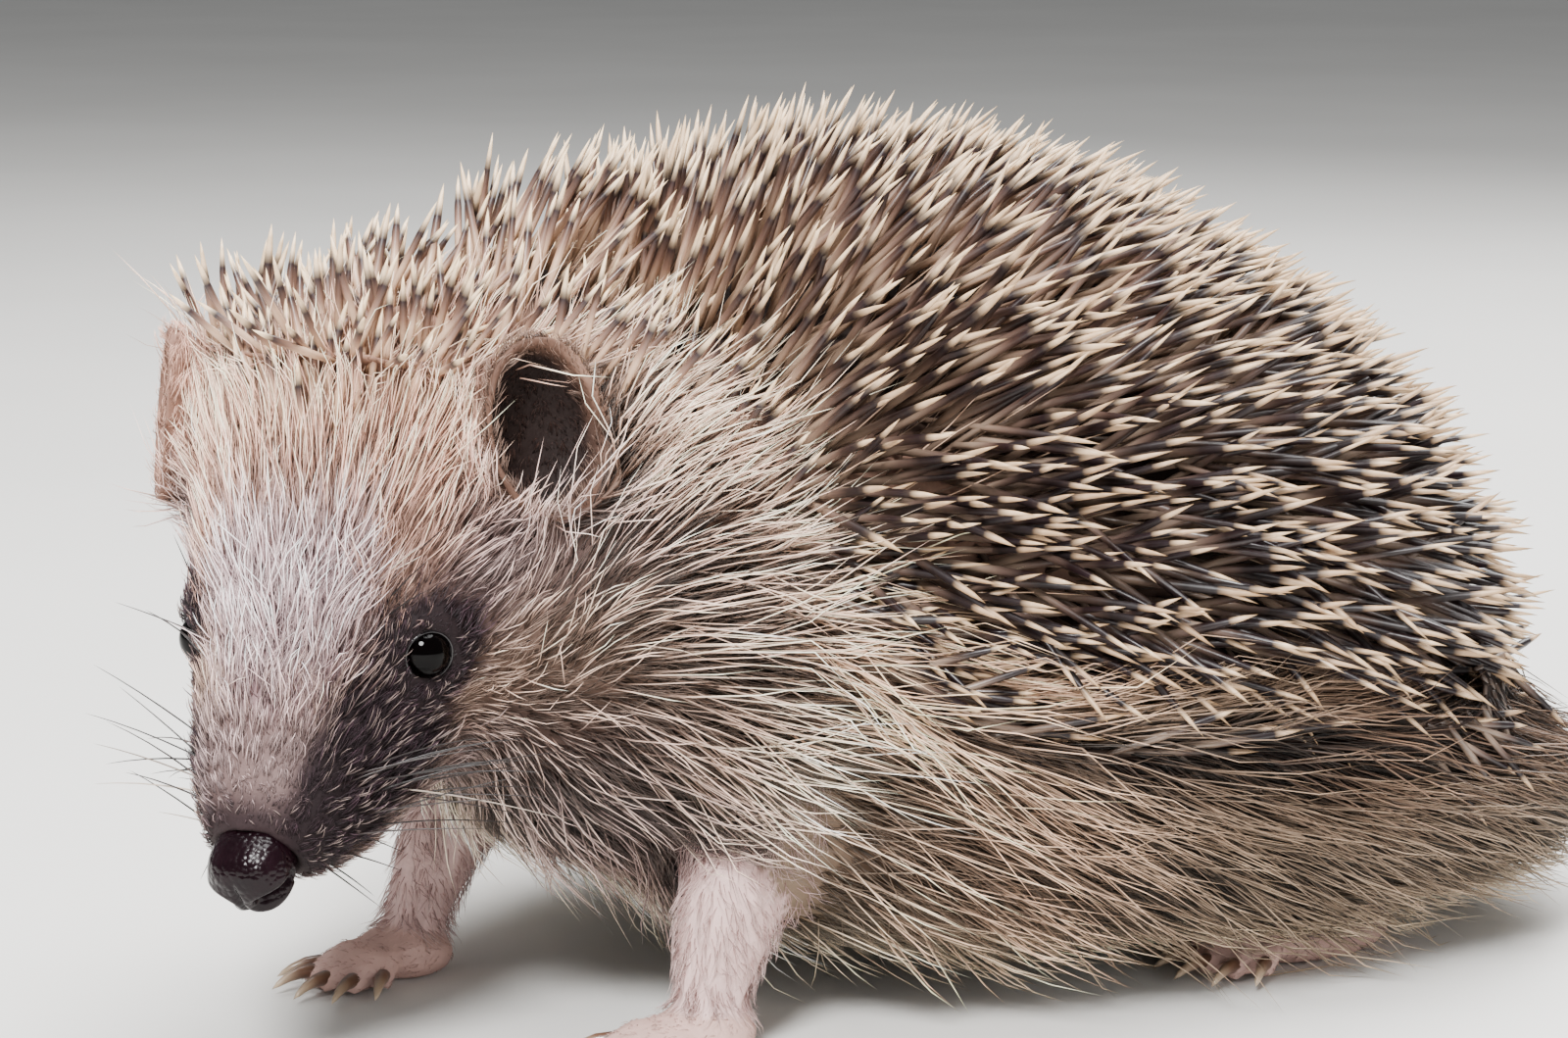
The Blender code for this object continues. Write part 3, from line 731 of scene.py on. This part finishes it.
def lieAt(points, normals):
    ways, length, rise = np.zeros_like(points), np.zeros(len(points)), np.zeros(len(points))
    for part in np.array_split(np.arange(len(points)), max(1, len(points) // 20000)):
        gap = np.linalg.norm(points[part, None] - liePlaces[None], axis=2) / mm
        share = 1 / (gap + 1.5) ** 4
        share /= share.sum(axis=1, keepdims=True)
        ways[part], length[part], rise[part] = share @ unit(lieWays), share @ lieLengths, share @ lieRises
    return unit(laid(ways, normals)), length, rise


def withoutEars():  # the skin with each ear cut off and the cut closed
    shape = bmesh.new()
    shape.from_mesh(skin.data)
    bmesh.ops.delete(shape, geom=[f for f, ear in zip(shape.faces[:], onEar) if ear], context="FACES")
    bmesh.ops.holes_fill(shape, edges=[e for e in shape.edges if e.is_boundary], sides=0)
    bmesh.ops.triangulate(shape, faces=[f for f in shape.faces if len(f.verts) > 3])
    return BVHTree.FromBMesh(shape)


earlessTree = withoutEars()


def nearestOn(points, tree):
    hits = [tree.find_nearest(p)[:2] for p in points.tolist()]
    return np.array([h[0][:] for h in hits]), np.array([h[1][:] for h in hits])


furLook = {
    "stops": (0, 0.34, 0.7, 1), "width": (1.0, 0.95, 0.6, 0.08), "perPiece": 12000,
    "thickness": {  # hairs to the square millimetre
        "head": 4.5, "jaw": 4.5, "neck": 3.2, "trunk": 1.8, "leg": 1.8, "foot": 1.4, "ear": 3.4, "tail": 2.0,
    },
    "short": {"leg": 5.0, "foot": 1.1, "tail": 3.0, "ear_": 3.0}, "lowRise": 16, "earRise": 30,
    "clump": 1.9, "clumpReach": 6, "pull": 0.52, "swing": 11, "wave": 0.03, "widest": 57.5,
    "guardShare": {"face": 0.16, "body": 0.4},  # long coarse hairs among the short ones
    "guard": {"length": 1.22, "rise": 1.35, "width": 1.35, "tone": 1.28},
    "other": {"length": 0.88, "rise": 0.9, "width": 0.85, "tone": 0.62},
    "contrast": {"body": 0.28, "neck": 0.08, "forehead": 0.14}, "maskHairs": 0.7, "seed": 23,
}


def furThickness():
    f, _, u = inHead(skinPoints).T
    _, y, z = inBody(skinPoints).T
    found = np.zeros(len(skinPoints))
    for word, value in furLook["thickness"].items():
        found[named(skinOwner, word)] = value
    found *= 1 + 0.6 * fade(-4, 6, f) * np.isin(skinOwner, ("head", "lower_jaw"))
    found *= 1 - 0.5 * fade(18, 8, z) * (skinOwner == "trunk")
    for side in (1, -1):
        gap = gapTo(skinPoints, eyeAt[side])
        found *= fade(2.9, 3.5, gap) * (1 + 0.8 * fade(6.5, 4.5, gap))
    noseGap = gapTo(skinPoints, middleOf("nose"))
    found *= fade(5.2, 5.8, noseGap) * (z > 0.6)
    crown = 0.5 * (u > 8) * np.isin(skinOwner, ("head", "neck")) * fade(-46, -34, f)
    found *= 1 - 0.45 * fade(0.25, 0.8, browSpines)
    rise = 3 * fade(50, 65, y)
    above = fade(-1 + rise, 3.5 + 2 * rise, z - edgeHeight(y))
    return found * (1 - (0.95 - crown) * fade(0.3, 0.9, backSpines) * np.maximum(above, u > 10))


def earWays(owner):  # the way each ear's hollow faces, and the way its tip points
    side = np.where(named(owner, "right"), -1.0, 1.0)
    return [unit(ways) @ headAxes for ways in (columns(0.3, 0.8 * side, 0.5), columns(-0.8, -0.3 * side, 0.6))]


def hollowOf(points, owner, normals):  # 1 deep inside an ear, 0 on its rim and its back
    face = earWays(owner)[0]
    found = np.zeros(len(points))
    for name in ("ear_left", "ear_right"):
        middle = skinPoints[skinOwner == name].mean(axis=0)
        out = (points - middle) * face
        rim = ((skinPoints - middle) @ face[owner == name][0])[skinOwner == name]
        deep = (np.quantile(rim, 0.97) - out.sum(axis=1)) / mm
        found = np.where(owner == name, fade(0.4, 2.4, deep), found)
    return found * fade(-0.1, 0.3, (normals * face).sum(axis=1))


def clumped(paths, roots, rng):  # tips lean towards the middle hair of their tuft
    kept = evenly(roots, furLook["clump"] * mm)
    tree = KDTree(len(kept))
    for number, i in enumerate(kept):
        tree.insert(roots[i], number)
    tree.balance()
    mate = np.array([kept[tree.find(p)[1]] for p in roots.tolist()])
    stops = np.array(furLook["stops"])
    lean = paths[mate] - roots[mate][:, None] - (paths - roots[:, None])
    toward = roots[mate][:, None] + (paths[mate] - roots[mate][:, None]) - paths
    pull = furLook["pull"] * rng.uniform(0.2, 1.5, (len(roots), 1, 1)) * (stops[None, :, None] ** 1.3)
    close = np.linalg.norm(lean, axis=2).max(axis=1) < furLook["clumpReach"] * mm
    return paths + toward * pull * close[:, None, None]


def startWays(roots, normals, owner):  # way, length and rise of each hair at its root
    ways, length, rise = lieAt(roots, normals)
    feet, tail, ears = named(owner, "foot"), owner == "tail", named(owner, "ear_")
    low = named(owner, "leg") | feet | tail
    down = np.array((0, 0.35, -1.0)) * np.ones_like(roots)
    down[feet] = (0, -1, -0.3)
    down[tail] = (0, 1, -0.4)
    ways[low] = unit(laid(down, normals)[low])
    ways[ears] = unit(laid(earWays(owner)[1], normals))[ears]
    for word, value in furLook["short"].items():
        length[named(owner, word)] = value
    rise[low], rise[ears] = furLook["lowRise"], furLook["earRise"]
    return ways, length, rise, low, ears


def bentAlong(roots, normals, ways, length, rise, swing, plain):  # strands that follow the skin as they run
    stops = np.array(furLook["stops"])
    paths = np.empty((len(roots), len(stops), 3))
    paths[:, 0] = roots - normals * 0.25 * mm
    here, near, wild = roots, normals, np.zeros(len(roots), bool)
    for k in range(1, len(stops)):
        here = here + lifted(ways, near, rise) * ((stops[k] - stops[k - 1]) * length)[:, None]
        spot, near = np.empty_like(here), np.empty_like(here)
        for which, tree in ((plain["ears"], skinTree), (~plain["ears"], earlessTree)):
            spot[which], near[which] = nearestOn(here[which], tree)
        height = ((here - spot) * near).sum(axis=1)
        wanted = length * np.sin(rise) * (stops[k] - 0.25 * stops[k] ** 2) + 0.1 * mm
        here = here + near * ((wanted - height) * 0.8)[:, None]
        wild |= np.abs(wanted - height) > 5 * mm
        paths[:, k] = here
        if k < len(stops) - 1:
            lie = lieAt(here, near)[0]
            lie[plain["all"]] = ways[plain["all"]]
            ways = unit(blend(ways, turned(lie, near, swing), 0.6))
    return paths, wild


def makeFur():
    roots, normals, rng = rootsOn(furThickness(), furLook["seed"])
    owner, count, stops = ownersAt(roots), len(roots), np.array(furLook["stops"])
    ways, length, rise, low, ears = startWays(roots, normals, owner)
    hollow = hollowOf(roots, owner, normals)
    length *= 1 - 0.55 * hollow
    for side in (1, -1):
        length *= 0.36 + 0.64 * fade(3.4, 9, gapTo(roots, eyeAt[side]))
    f, s, _ = inHead(roots).T
    onFace, onBody = furLook["guardShare"].values()
    guard = (rng.random(count) < onFace + (onBody - onFace) * fade(-6, -18, f)) & ~(low | ears)
    factor = {word: np.where(guard, value, furLook["other"][word]) for word, value in furLook["guard"].items()}
    length = length * factor["length"] * rng.lognormal(0, 0.16, count) * mm
    rise = np.radians(rise * factor["rise"] * rng.lognormal(0, 0.25, count))
    swing = np.radians(rng.normal(0, furLook["swing"], count) * (1 + 0.8 * fade(-12, 2, f)))[:, None]
    sway = np.cross(normals, ways)
    ways = turned(ways, normals, swing)
    paths, wild = bentAlong(roots, normals, ways, length, rise, swing, {"ears": ears, "all": low | ears})
    wild |= np.abs(inBody(paths)[..., 0]).max(axis=1) > furLook["widest"]
    bits = unit(np.diff(paths, axis=1))  # hairs with a sharp bend are left out
    wild |= (bits[:, 1:] * bits[:, :-1]).sum(axis=2).min(axis=1) < np.where(low, 0.3, 0.72)
    wave = np.sin(stops[None] * rng.uniform(2, 5, (count, 1)) + rng.uniform(0, 6, (count, 1)))
    wave = wave * stops[None] * furLook["wave"]
    paths = clumped(paths + sway[:, None] * (wave * length[:, None])[..., None], roots, rng)
    paths[..., 2] = np.maximum(paths[..., 2], 0.15 * mm)
    wide = (0.046 + 0.0024 * np.minimum(length / mm, 20)) * rng.uniform(0.75, 1.25, count) * factor["width"]
    radii = np.array(furLook["width"])[None] * wide[:, None] * mm
    root, tip = markings(roots + rng.normal(0, 0.9, roots.shape) * mm, owner, hollow)
    inMask = guard & (tip.mean(axis=1) < 0.07) & (f > -2)
    tip[inMask & (rng.random(count) < furLook["maskHairs"])] = srgb(116, 100, 95)
    more = furLook["contrast"]
    contrast = more["body"] * np.isin(owner, ("neck", "trunk")) + more["neck"] * (owner == "neck")
    contrast = contrast + more["forehead"] * fade(-2, -10, f) * fade(-40, -30, f)
    tone = rng.lognormal(0, 0.16 + 0.12 * (owner == "trunk"), count)
    tone = tone * (factor["tone"] + np.where(guard, 0.5, -1) * contrast)
    tone = np.where(ears & (s < 0), 1.05, tone)[:, None, None]
    toTip = fade(0.05, 0.75, stops)[None, :, None]
    colours = np.clip((root[:, None] * (1 - toTip) + tip[:, None] * toTip) * tone, 0, 1)
    regions = {
        "face": np.isin(owner, ("head", "lower_jaw")), "neck": owner == "neck",
        "flanks": owner == "trunk", "ears": ears, "legs": low,
    }
    made, form = [], strandForm(3, stops)
    for name, inside in regions.items():
        order = np.flatnonzero(inside & ~wild)
        order = order[np.argsort(roots[order, 1])]
        made += inPieces(
            f"fur_{name}", order, furLook["perPiece"], form,
            paths=paths, radii=radii, normals=normals, colours=colours)
    print("fur:", count, "hairs in", len(made), "pieces,", wild.sum(), "left out")
    return made


fur = makeFur()

root, tip = markings(skinPoints, skinOwner, hollowOf(skinPoints, skinOwner, skinNormals))
bare = named(skinOwner, "foot") | named(skinOwner, "leg")
onHead = fade(-46, -36, inHead(skinPoints)[:, 0]) * fade(46, 58, inBody(skinPoints)[:, 2])
# skin under the spine coat: its own brown darkened with painted shade of the spines, lighter on the head
under = blend(srgb(36, 26, 22), srgb(140, 108, 92), onHead)
ground = blend(blend(root, tip, 0.12 + 0.5 * bare), under, np.maximum(skinCovered, spineShare))
setColours(skin.data, ground)


# Eyes: a fine glossy ball in each socket, and a rim of lid round what shows of it

eyeLook = {
    "radius": 2.9, "lidTube": 0.17, "lidAngle": 64, "lidOut": 2.96,
    "cornerAt": 2.25, "cornerWide": 0.42, "cornerStretch": 0.18, "cornerDrop": 0.55,
}


def axesAlong(way, lift):  # a turn that points z along the way and x up
    side = unit(np.cross(way, lift))
    return Matrix(np.array([np.cross(side, way), side, way]).T.tolist()).to_4x4()


def inSocket(shape, side):
    turn = axesAlong(eyeWay(side) @ headAxes, headAxes[2])
    bmesh.ops.transform(shape, matrix=Matrix.Translation(eyeAt[side]) @ turn, verts=shape.verts)
    return shape


def makeEye(side, name):
    shape = bmesh.new()
    bmesh.ops.create_uvsphere(shape, u_segments=64, v_segments=32, radius=eyeLook["radius"] * mm)
    return addPiece(name, inSocket(shape, side))


def makeLid(side, name):
    angle, out, tube = math.radians(eyeLook["lidAngle"]), eyeLook["lidOut"], eyeLook["lidTube"]
    shape = bmesh.new()
    bmesh.ops.create_circle(shape, segments=12, radius=tube)
    upright = Matrix.Rotation(math.pi / 2, 4, "X")
    place = Matrix.Translation((out * math.sin(angle), 0, out * math.cos(angle)))
    bmesh.ops.transform(shape, matrix=place @ upright, verts=shape.verts)
    bmesh.ops.spin(
        shape, geom=shape.edges[:], cent=(0, 0, 0), axis=(0, 0, 1), angle=math.tau, steps=72, use_merge=True)
    bmesh.ops.recalc_face_normals(shape, faces=shape.faces)
    for v in shape.verts:  # a short corner towards the nose
        off = math.remainder(math.atan2(v.co.y * side, v.co.x) - eyeLook["cornerAt"], math.tau)
        corner = math.exp(-((off / eyeLook["cornerWide"]) ** 2))
        stretch = 1 + eyeLook["cornerStretch"] * corner
        v.co.x, v.co.y = v.co.x * stretch, v.co.y * stretch
        v.co.z -= eyeLook["cornerDrop"] * corner
    bmesh.ops.scale(shape, vec=(mm, mm, mm), verts=shape.verts)
    return addPiece(name, inSocket(shape, side))


# The nose pad: nostrils, a groove down the middle and a pebbled top

noseLook = {
    "size": (4.4, 4.6, 4.35), "back": 0.35, "square": 2.4,  # 2 is round, more is squarer
    "nostril": {"out": 3.0, "down": 0.7, "wide": 1.15, "deep": 1.9, "rim": 0.22},
    "slit": {"out": 4.3, "down": 1.2, "wide": 0.9, "deep": 0.9}, "groove": 0.45, "grooveWide": 0.32,
}


def makeNose():
    shape = bmesh.new()
    bmesh.ops.create_icosphere(shape, subdivisions=6, radius=1)
    places = np.array([v.co[:] for v in shape.verts])
    f, s, u = places.T
    nostril, cut, power = noseLook["nostril"], noseLook["slit"], noseLook["square"]
    square = (np.abs(places) ** power).sum(axis=1) ** (-1 / power)
    bed = places * square[:, None] * np.array(noseLook["size"])
    bed[:, 1] *= 1 + 0.06 * u - 0.10 * fade(0.2, -0.9, u)
    sink = np.zeros(len(places))
    for side in (1, -1):
        hole = np.hypot((bed[:, 1] - side * nostril["out"]) * 0.8, bed[:, 2] + nostril["down"])
        slit = np.hypot((bed[:, 1] - side * cut["out"]) * 0.45, (bed[:, 2] + cut["down"]) * 1.3)
        sink += nostril["deep"] * np.exp(-((hole / nostril["wide"]) ** 3)) * (f > 0) \
            + cut["deep"] * bump(slit, 0, cut["wide"]) * (f > -0.1)
        sink -= nostril["rim"] * (bump(hole, 1.9, 0.6) * (f > 0) * (s * side > 0))
    middle = bump(bed[:, 1], 0, noseLook["grooveWide"])
    sink += noseLook["groove"] * middle * fade(0.1, 0.5, f) * fade(0.75, 0.2, u)
    bed -= places * sink[:, None]
    centre = inHead(np.array(middleOf("nose"))[None])[0] - (noseLook["back"], 0, 0)
    for v, place in zip(shape.verts, fromHead(bed + centre)):
        v.co = place
    return addPiece("nose_pad", shape)


nosePad = makeNose()


# Claws: one curved point on each toe

def makeClaws():
    stops = np.array(clawLook["stops"])
    ahead = stops * clawLook["length"] - clawLook["sunk"]
    height = clawLook["arch"] * np.sin(stops * 2.6) - clawLook["curl"] * stops**2
    paths = np.array([
        tip + np.outer(ahead, way) * mm + np.outer(height, (0, 0, 1)) * mm for tip, way in toeTips()])
    paths[..., 2] = np.maximum(paths[..., 2], clawLook["leastHeight"] * mm)
    radii = np.array([clawLook["width"]]) * mm
    return strandMesh("claws", strandForm(12, stops), paths, radii, np.array([(0.0, 0.0, 1.0)]))


claws = makeClaws()


# Whiskers: long bristles from the sides of the muzzle, the brow and the chin

whiskerLook = {
    "rows": (  # how many, forwards, aside, up; the way; the length
        (10, (15, 8.2, -4), (-0.4, 1.0, 0.05), 18), (8, (12, 9, -8.5), (-0.45, 1.0, -0.5), 17),
        (4, (18, 6, -10), (0.1, 0.8, -0.8), 7), (4, (2, 12, 7), (-0.5, 0.8, 0.6), 11),
        (3, (-8, 20, -8), (-0.6, 1.0, -0.5), 13),
    ),
    "seed": 5, "scatter": (2.6, 0.9, 2.0), "stops": (0, 0.15, 0.35, 0.55, 0.75, 0.9, 1),
    "width": (0.11, 0.1, 0.09, 0.075, 0.055, 0.035, 0.01),
}


def makeWhiskers():
    rng = np.random.default_rng(whiskerLook["seed"])
    stops = np.array(whiskerLook["stops"])
    paths, ups, tones = [], [], []
    for count, place, way, length in whiskerLook["rows"]:
        for side in (1, -1):
            for _ in range(count):
                near = fromHead((np.array(place) + rng.normal(0, 1, 3) * whiskerLook["scatter"]) * (1, side, 1))
                root, normal = (v[0] for v in nearestOn(near[None], skinTree))
                ahead = unit(((np.array(way) + rng.normal(0, 0.16, 3)) * (1, side, 1)) @ headAxes)
                reach = length * rng.uniform(0.7, 1.1) * mm
                bow = unit(np.array((0, 0.5, -1)) + rng.normal(0, 0.35, 3)) * reach * rng.uniform(0.08, 0.22)
                paths.append(root + np.outer(stops - 0.02, ahead) * reach + np.outer(stops**2, bow))
                ups.append(unit(normal + (0.01, 0.02, 0.03)))
                tones.append(rng.random())
    radii = np.array([whiskerLook["width"]]) * mm
    paths, ups = np.array(paths), np.array(ups)
    return strandMesh("whiskers", strandForm(5, stops), paths, radii, ups, tone=np.array(tones))


whiskers = makeWhiskers()
print("details: done")


# Materials

class Wire:  # an output of a node; sums on it add Math nodes
    def __init__(self, finish, socket):
        self.finish, self.socket = finish, socket

    def sum(self, operation, first, second):
        return self.finish.node("ShaderNodeMath", {"operation": operation}, {0: first, 1: second})

    def __add__(self, other): return self.sum("ADD", self, other)
    def __radd__(self, other): return self.sum("ADD", other, self)
    def __sub__(self, other): return self.sum("SUBTRACT", self, other)
    def __rsub__(self, other): return self.sum("SUBTRACT", other, self)
    def __mul__(self, other): return self.sum("MULTIPLY", self, other)
    def __rmul__(self, other): return self.sum("MULTIPLY", other, self)


class Finish:  # one material and its nodes
    def __init__(self, name, **constants):
        self.material = bpy.data.materials.new(name)
        self.material.use_nodes = True
        self.tree = self.material.node_tree
        self.shader = self.tree.nodes["Principled BSDF"]
        for socket, value in constants.items():
            self.shader.inputs[socket.replace("_", " ")].default_value = value

    def node(self, kind, settings=None, inputs=None, output=0):
        made = self.tree.nodes.new(kind)
        for name, value in (settings or {}).items():
            if name == "stops":
                for number, (place, tint) in enumerate(value):
                    ramp = made.color_ramp.elements
                    stop = ramp[number] if number < 2 else ramp.new(place)
                    stop.position, stop.color = place, colour(tint)
            else:
                setattr(made, name, value)
        for name, value in (inputs or {}).items():
            self.join(value, made.inputs[name])
        return Wire(self, made.outputs[output])

    def join(self, value, socket):
        if isinstance(value, Wire):
            self.tree.links.new(value.socket, socket)
        else:
            socket.default_value = value

    def put(self, name, value):
        self.join(value, self.shader.inputs[name])

    def attribute(self, name, output=2):  # 2 for a number, 0 for a colour
        return self.node("ShaderNodeAttribute", {"attribute_name": name}, output=output)

    def noise(self, scale, detail=3.0):
        place = self.node("ShaderNodeTexCoord", output=3)
        return self.node("ShaderNodeTexNoise", inputs={"Vector": place, "Scale": scale, "Detail": detail})

    def ramp(self, along, *stops):  # the two ends first
        return self.node("ShaderNodeValToRGB", {"stops": stops}, {"Fac": along})

    def mixed(self, first, second, share, way="MIX"):  # colours are given as 0 to 255
        first, second = (colour(c) if isinstance(c, tuple) else c for c in (first, second))
        settings = {"data_type": "RGBA", "blend_type": way}
        return self.node("ShaderNodeMix", settings, {"Factor": share, 6: first, 7: second}, output=2)

    def bumps(self, height, distance, strength):
        inputs = {"Height": height, "Distance": distance, "Strength": strength}
        self.put("Normal", self.node("ShaderNodeBump", inputs=inputs))


def colour(tint):
    return (*srgb(*tint), 1.0)


def skinFinish():
    made = Finish("skin_finish", Roughness=0.75, Specular_IOR_Level=0.2)
    base = made.attribute("strandColour", 0)
    made.put("Base Color", made.mixed(base, (30, 20, 20), made.noise(160, 4) * 0.55 - 0.12))
    made.bumps(made.noise(1500, 4) + 0.6 * made.noise(500), 0.00025, 0.6)
    return made.material


def furFinish():
    made = Finish("fur_finish", Roughness=0.5, Specular_IOR_Level=0.4)
    made.put("Base Color", made.attribute("strandColour", 0))
    return made.material


def spineFinish():
    made = Finish("spine_finish", Specular_IOR_Level=0.5)
    tone, pale = made.attribute("tone"), made.attribute("pale")
    along = made.attribute("along") + 0.09 * tone - 0.045
    bands = made.ramp(
        along, (0, (70, 56, 48)), (1, (230, 190, 140)), (0.38, (152, 132, 116)), (0.51, (104, 86, 78)),
        (0.64, (38, 27, 27)), (0.79, (36, 26, 31)), (0.86, (248, 214, 174)))
    sandy = made.ramp(
        along, (0, (150, 112, 82)), (1, (250, 220, 176)), (0.45, (232, 190, 156)), (0.58, (158, 122, 104)),
        (0.74, (50, 36, 38)), (0.84, (255, 224, 184)))
    # painted light and shade: spines paler on the crown and top, darker low on the sides and at the rear; tone
    # adds random variation
    toneAndShade = 0.3 + 0.4 * tone - 0.55 * pale
    made.put("Base Color", made.mixed(made.mixed(bands, sandy, pale), (132, 114, 104), toneAndShade, "MULTIPLY"))
    made.put("Roughness", 0.3 + 0.2 * tone)
    made.bumps(made.noise(900, 2), 0.00006, 0.5)
    return made.material


def eyeFinish():
    made = Finish("eye_finish", Roughness=0.03, Specular_IOR_Level=0.1)
    made.put("Base Color", made.mixed((4, 3, 4), (10, 6, 6), made.noise(400, 2)))
    return made.material


def lidFinish():
    made = Finish("lid_finish", Roughness=0.22, Specular_IOR_Level=0.5)
    made.put("Base Color", made.mixed((8, 6, 7), (22, 16, 20), made.noise(900)))
    made.bumps(made.noise(2500), 0.0001, 0.5)
    return made.material


def noseFinish():
    made = Finish("nose_finish", Specular_IOR_Level=0.2)
    place = made.node("ShaderNodeTexCoord", output=3)
    cells = made.node("ShaderNodeTexVoronoi", {"feature": "F1"}, {"Vector": place, "Scale": 1500.0})
    cloud = made.noise(260)
    made.put("Base Color", made.mixed((8, 4, 6), (30, 16, 22), cloud))
    made.put("Roughness", 0.08 + 0.3 * cloud)
    made.bumps(0.5 * made.noise(900) - cells, 0.0002, 0.6)
    return made.material


def clawFinish():
    made = Finish("claw_finish", Roughness=0.32, Coat_Weight=0.3)
    horn = made.ramp(made.attribute("along"), (0, (66, 44, 36)), (1, (214, 190, 160)), (0.45, (110, 82, 66)))
    made.put("Base Color", made.mixed(horn, (60, 40, 34), made.noise(700) * 0.5))
    made.bumps(made.noise(1600, 2), 0.0001, 0.4)
    return made.material


def whiskerFinish():
    made = Finish("whisker_finish", Roughness=0.4)
    stops = (0, (20, 15, 15)), (1, (206, 190, 174)), (0.86, (40, 30, 28)), (0.9, (176, 160, 146))
    made.put("Base Color", made.ramp(made.attribute("tone"), *stops))
    return made.material


def dress(piece, material, slot, *replaced):
    piece.data.materials.clear()
    piece.data.materials.append(material)
    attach(piece, "root")
    if replaced:
        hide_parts(*replaced)


dress(skin, skinFinish(), "skin", *fleshNodes)
spineCoat, furCoat, eyeGloss, lidSkin = spineFinish(), furFinish(), eyeFinish(), lidFinish()
for piece in spines:
    dress(piece, spineCoat, "spines", "spiny_back")
for piece in fur:
    dress(piece, furCoat, "ear" if "ears" in piece.name else "fur")
for word, side in sides.items():
    dress(makeEye(side, f"eyeball_{word}"), eyeGloss, "eye", f"eye_{word}")
    dress(makeLid(side, f"eyelids_{word}"), lidSkin, "skin")
dress(nosePad, noseFinish(), "nose", "nose")
dress(claws, clawFinish(), "skin")
dress(whiskers, whiskerFinish(), "fur")
print("materials: done")


# Floor, light and camera

studioLook = {
    "floor": 9.0, "middle": (0, 0, 0.05), "sky": ((0.86, 0.88, 0.9, 1), 0.3),
    "lights": {  # place in metres, size, watts
        "key": ((0.50, -0.49, 0.72), 0.3, 22.0), "fill": ((0.80, 0.05, 0.25), 0.6, 3.0),
        "rim": ((-0.35, 0.6, 0.6), 0.5, 9.0), "top": ((0.0, 0.05, 0.9), 0.7, 17.0),
    },
}


def makeFloor():
    shape = bmesh.new()
    bmesh.ops.create_grid(shape, x_segments=8, y_segments=8, size=studioLook["floor"])
    floor = addPiece("floor", shape)
    made = Finish("floor_finish", Roughness=0.75)
    made.put("Base Color", made.mixed((222, 220, 216), (206, 204, 200), made.noise(6)))
    floor.data.materials.append(made.material)


def makeLights():
    for name, (place, size, watts) in studioLook["lights"].items():
        lamp = bpy.data.lights.new(name, "AREA")
        lamp.shape, lamp.size, lamp.energy = "DISK", size, watts
        made = linked(name, lamp)
        made.visible_glossy = name != "fill"
        way = Vector(studioLook["middle"]) - Vector(place)
        made.matrix_world = Matrix.Translation(place) @ way.to_track_quat("-Z", "Y").to_matrix().to_4x4()
    world = bpy.data.worlds.new("studio")
    world.use_nodes = True
    sky = world.node_tree.nodes["Background"].inputs
    sky["Color"].default_value, sky["Strength"].default_value = studioLook["sky"]
    bpy.context.scene.world = world


cameraLook = {
    "azimuth": 62.0, "height": 10.0, "lens": 89.8, "distance": 480.0, "aside": 27.7, "aim": (0, 20, 50.7),
}


def makeCamera():
    turn, lift = math.radians(cameraLook["azimuth"]), math.radians(cameraLook["height"])
    back = Vector((math.sin(turn) * math.cos(lift), -math.cos(turn) * math.cos(lift), math.sin(lift)))
    across = Vector((math.cos(turn), math.sin(turn), 0))
    aim = Vector(bodyOrigin) + Vector(cameraLook["aim"]) * mm
    place = aim - across * cameraLook["aside"] * mm + back * cameraLook["distance"] * mm
    camera = linked("camera", bpy.data.cameras.new("camera"))
    axes = Matrix((across, back.cross(across), back)).transposed().to_4x4()
    camera.matrix_world = Matrix.Translation(place) @ axes
    camera.data.lens = cameraLook["lens"]
    camera.data.clip_start = 0.01
    bpy.context.scene.camera = camera


makeFloor()
makeLights()
makeCamera()
print("stage: done")
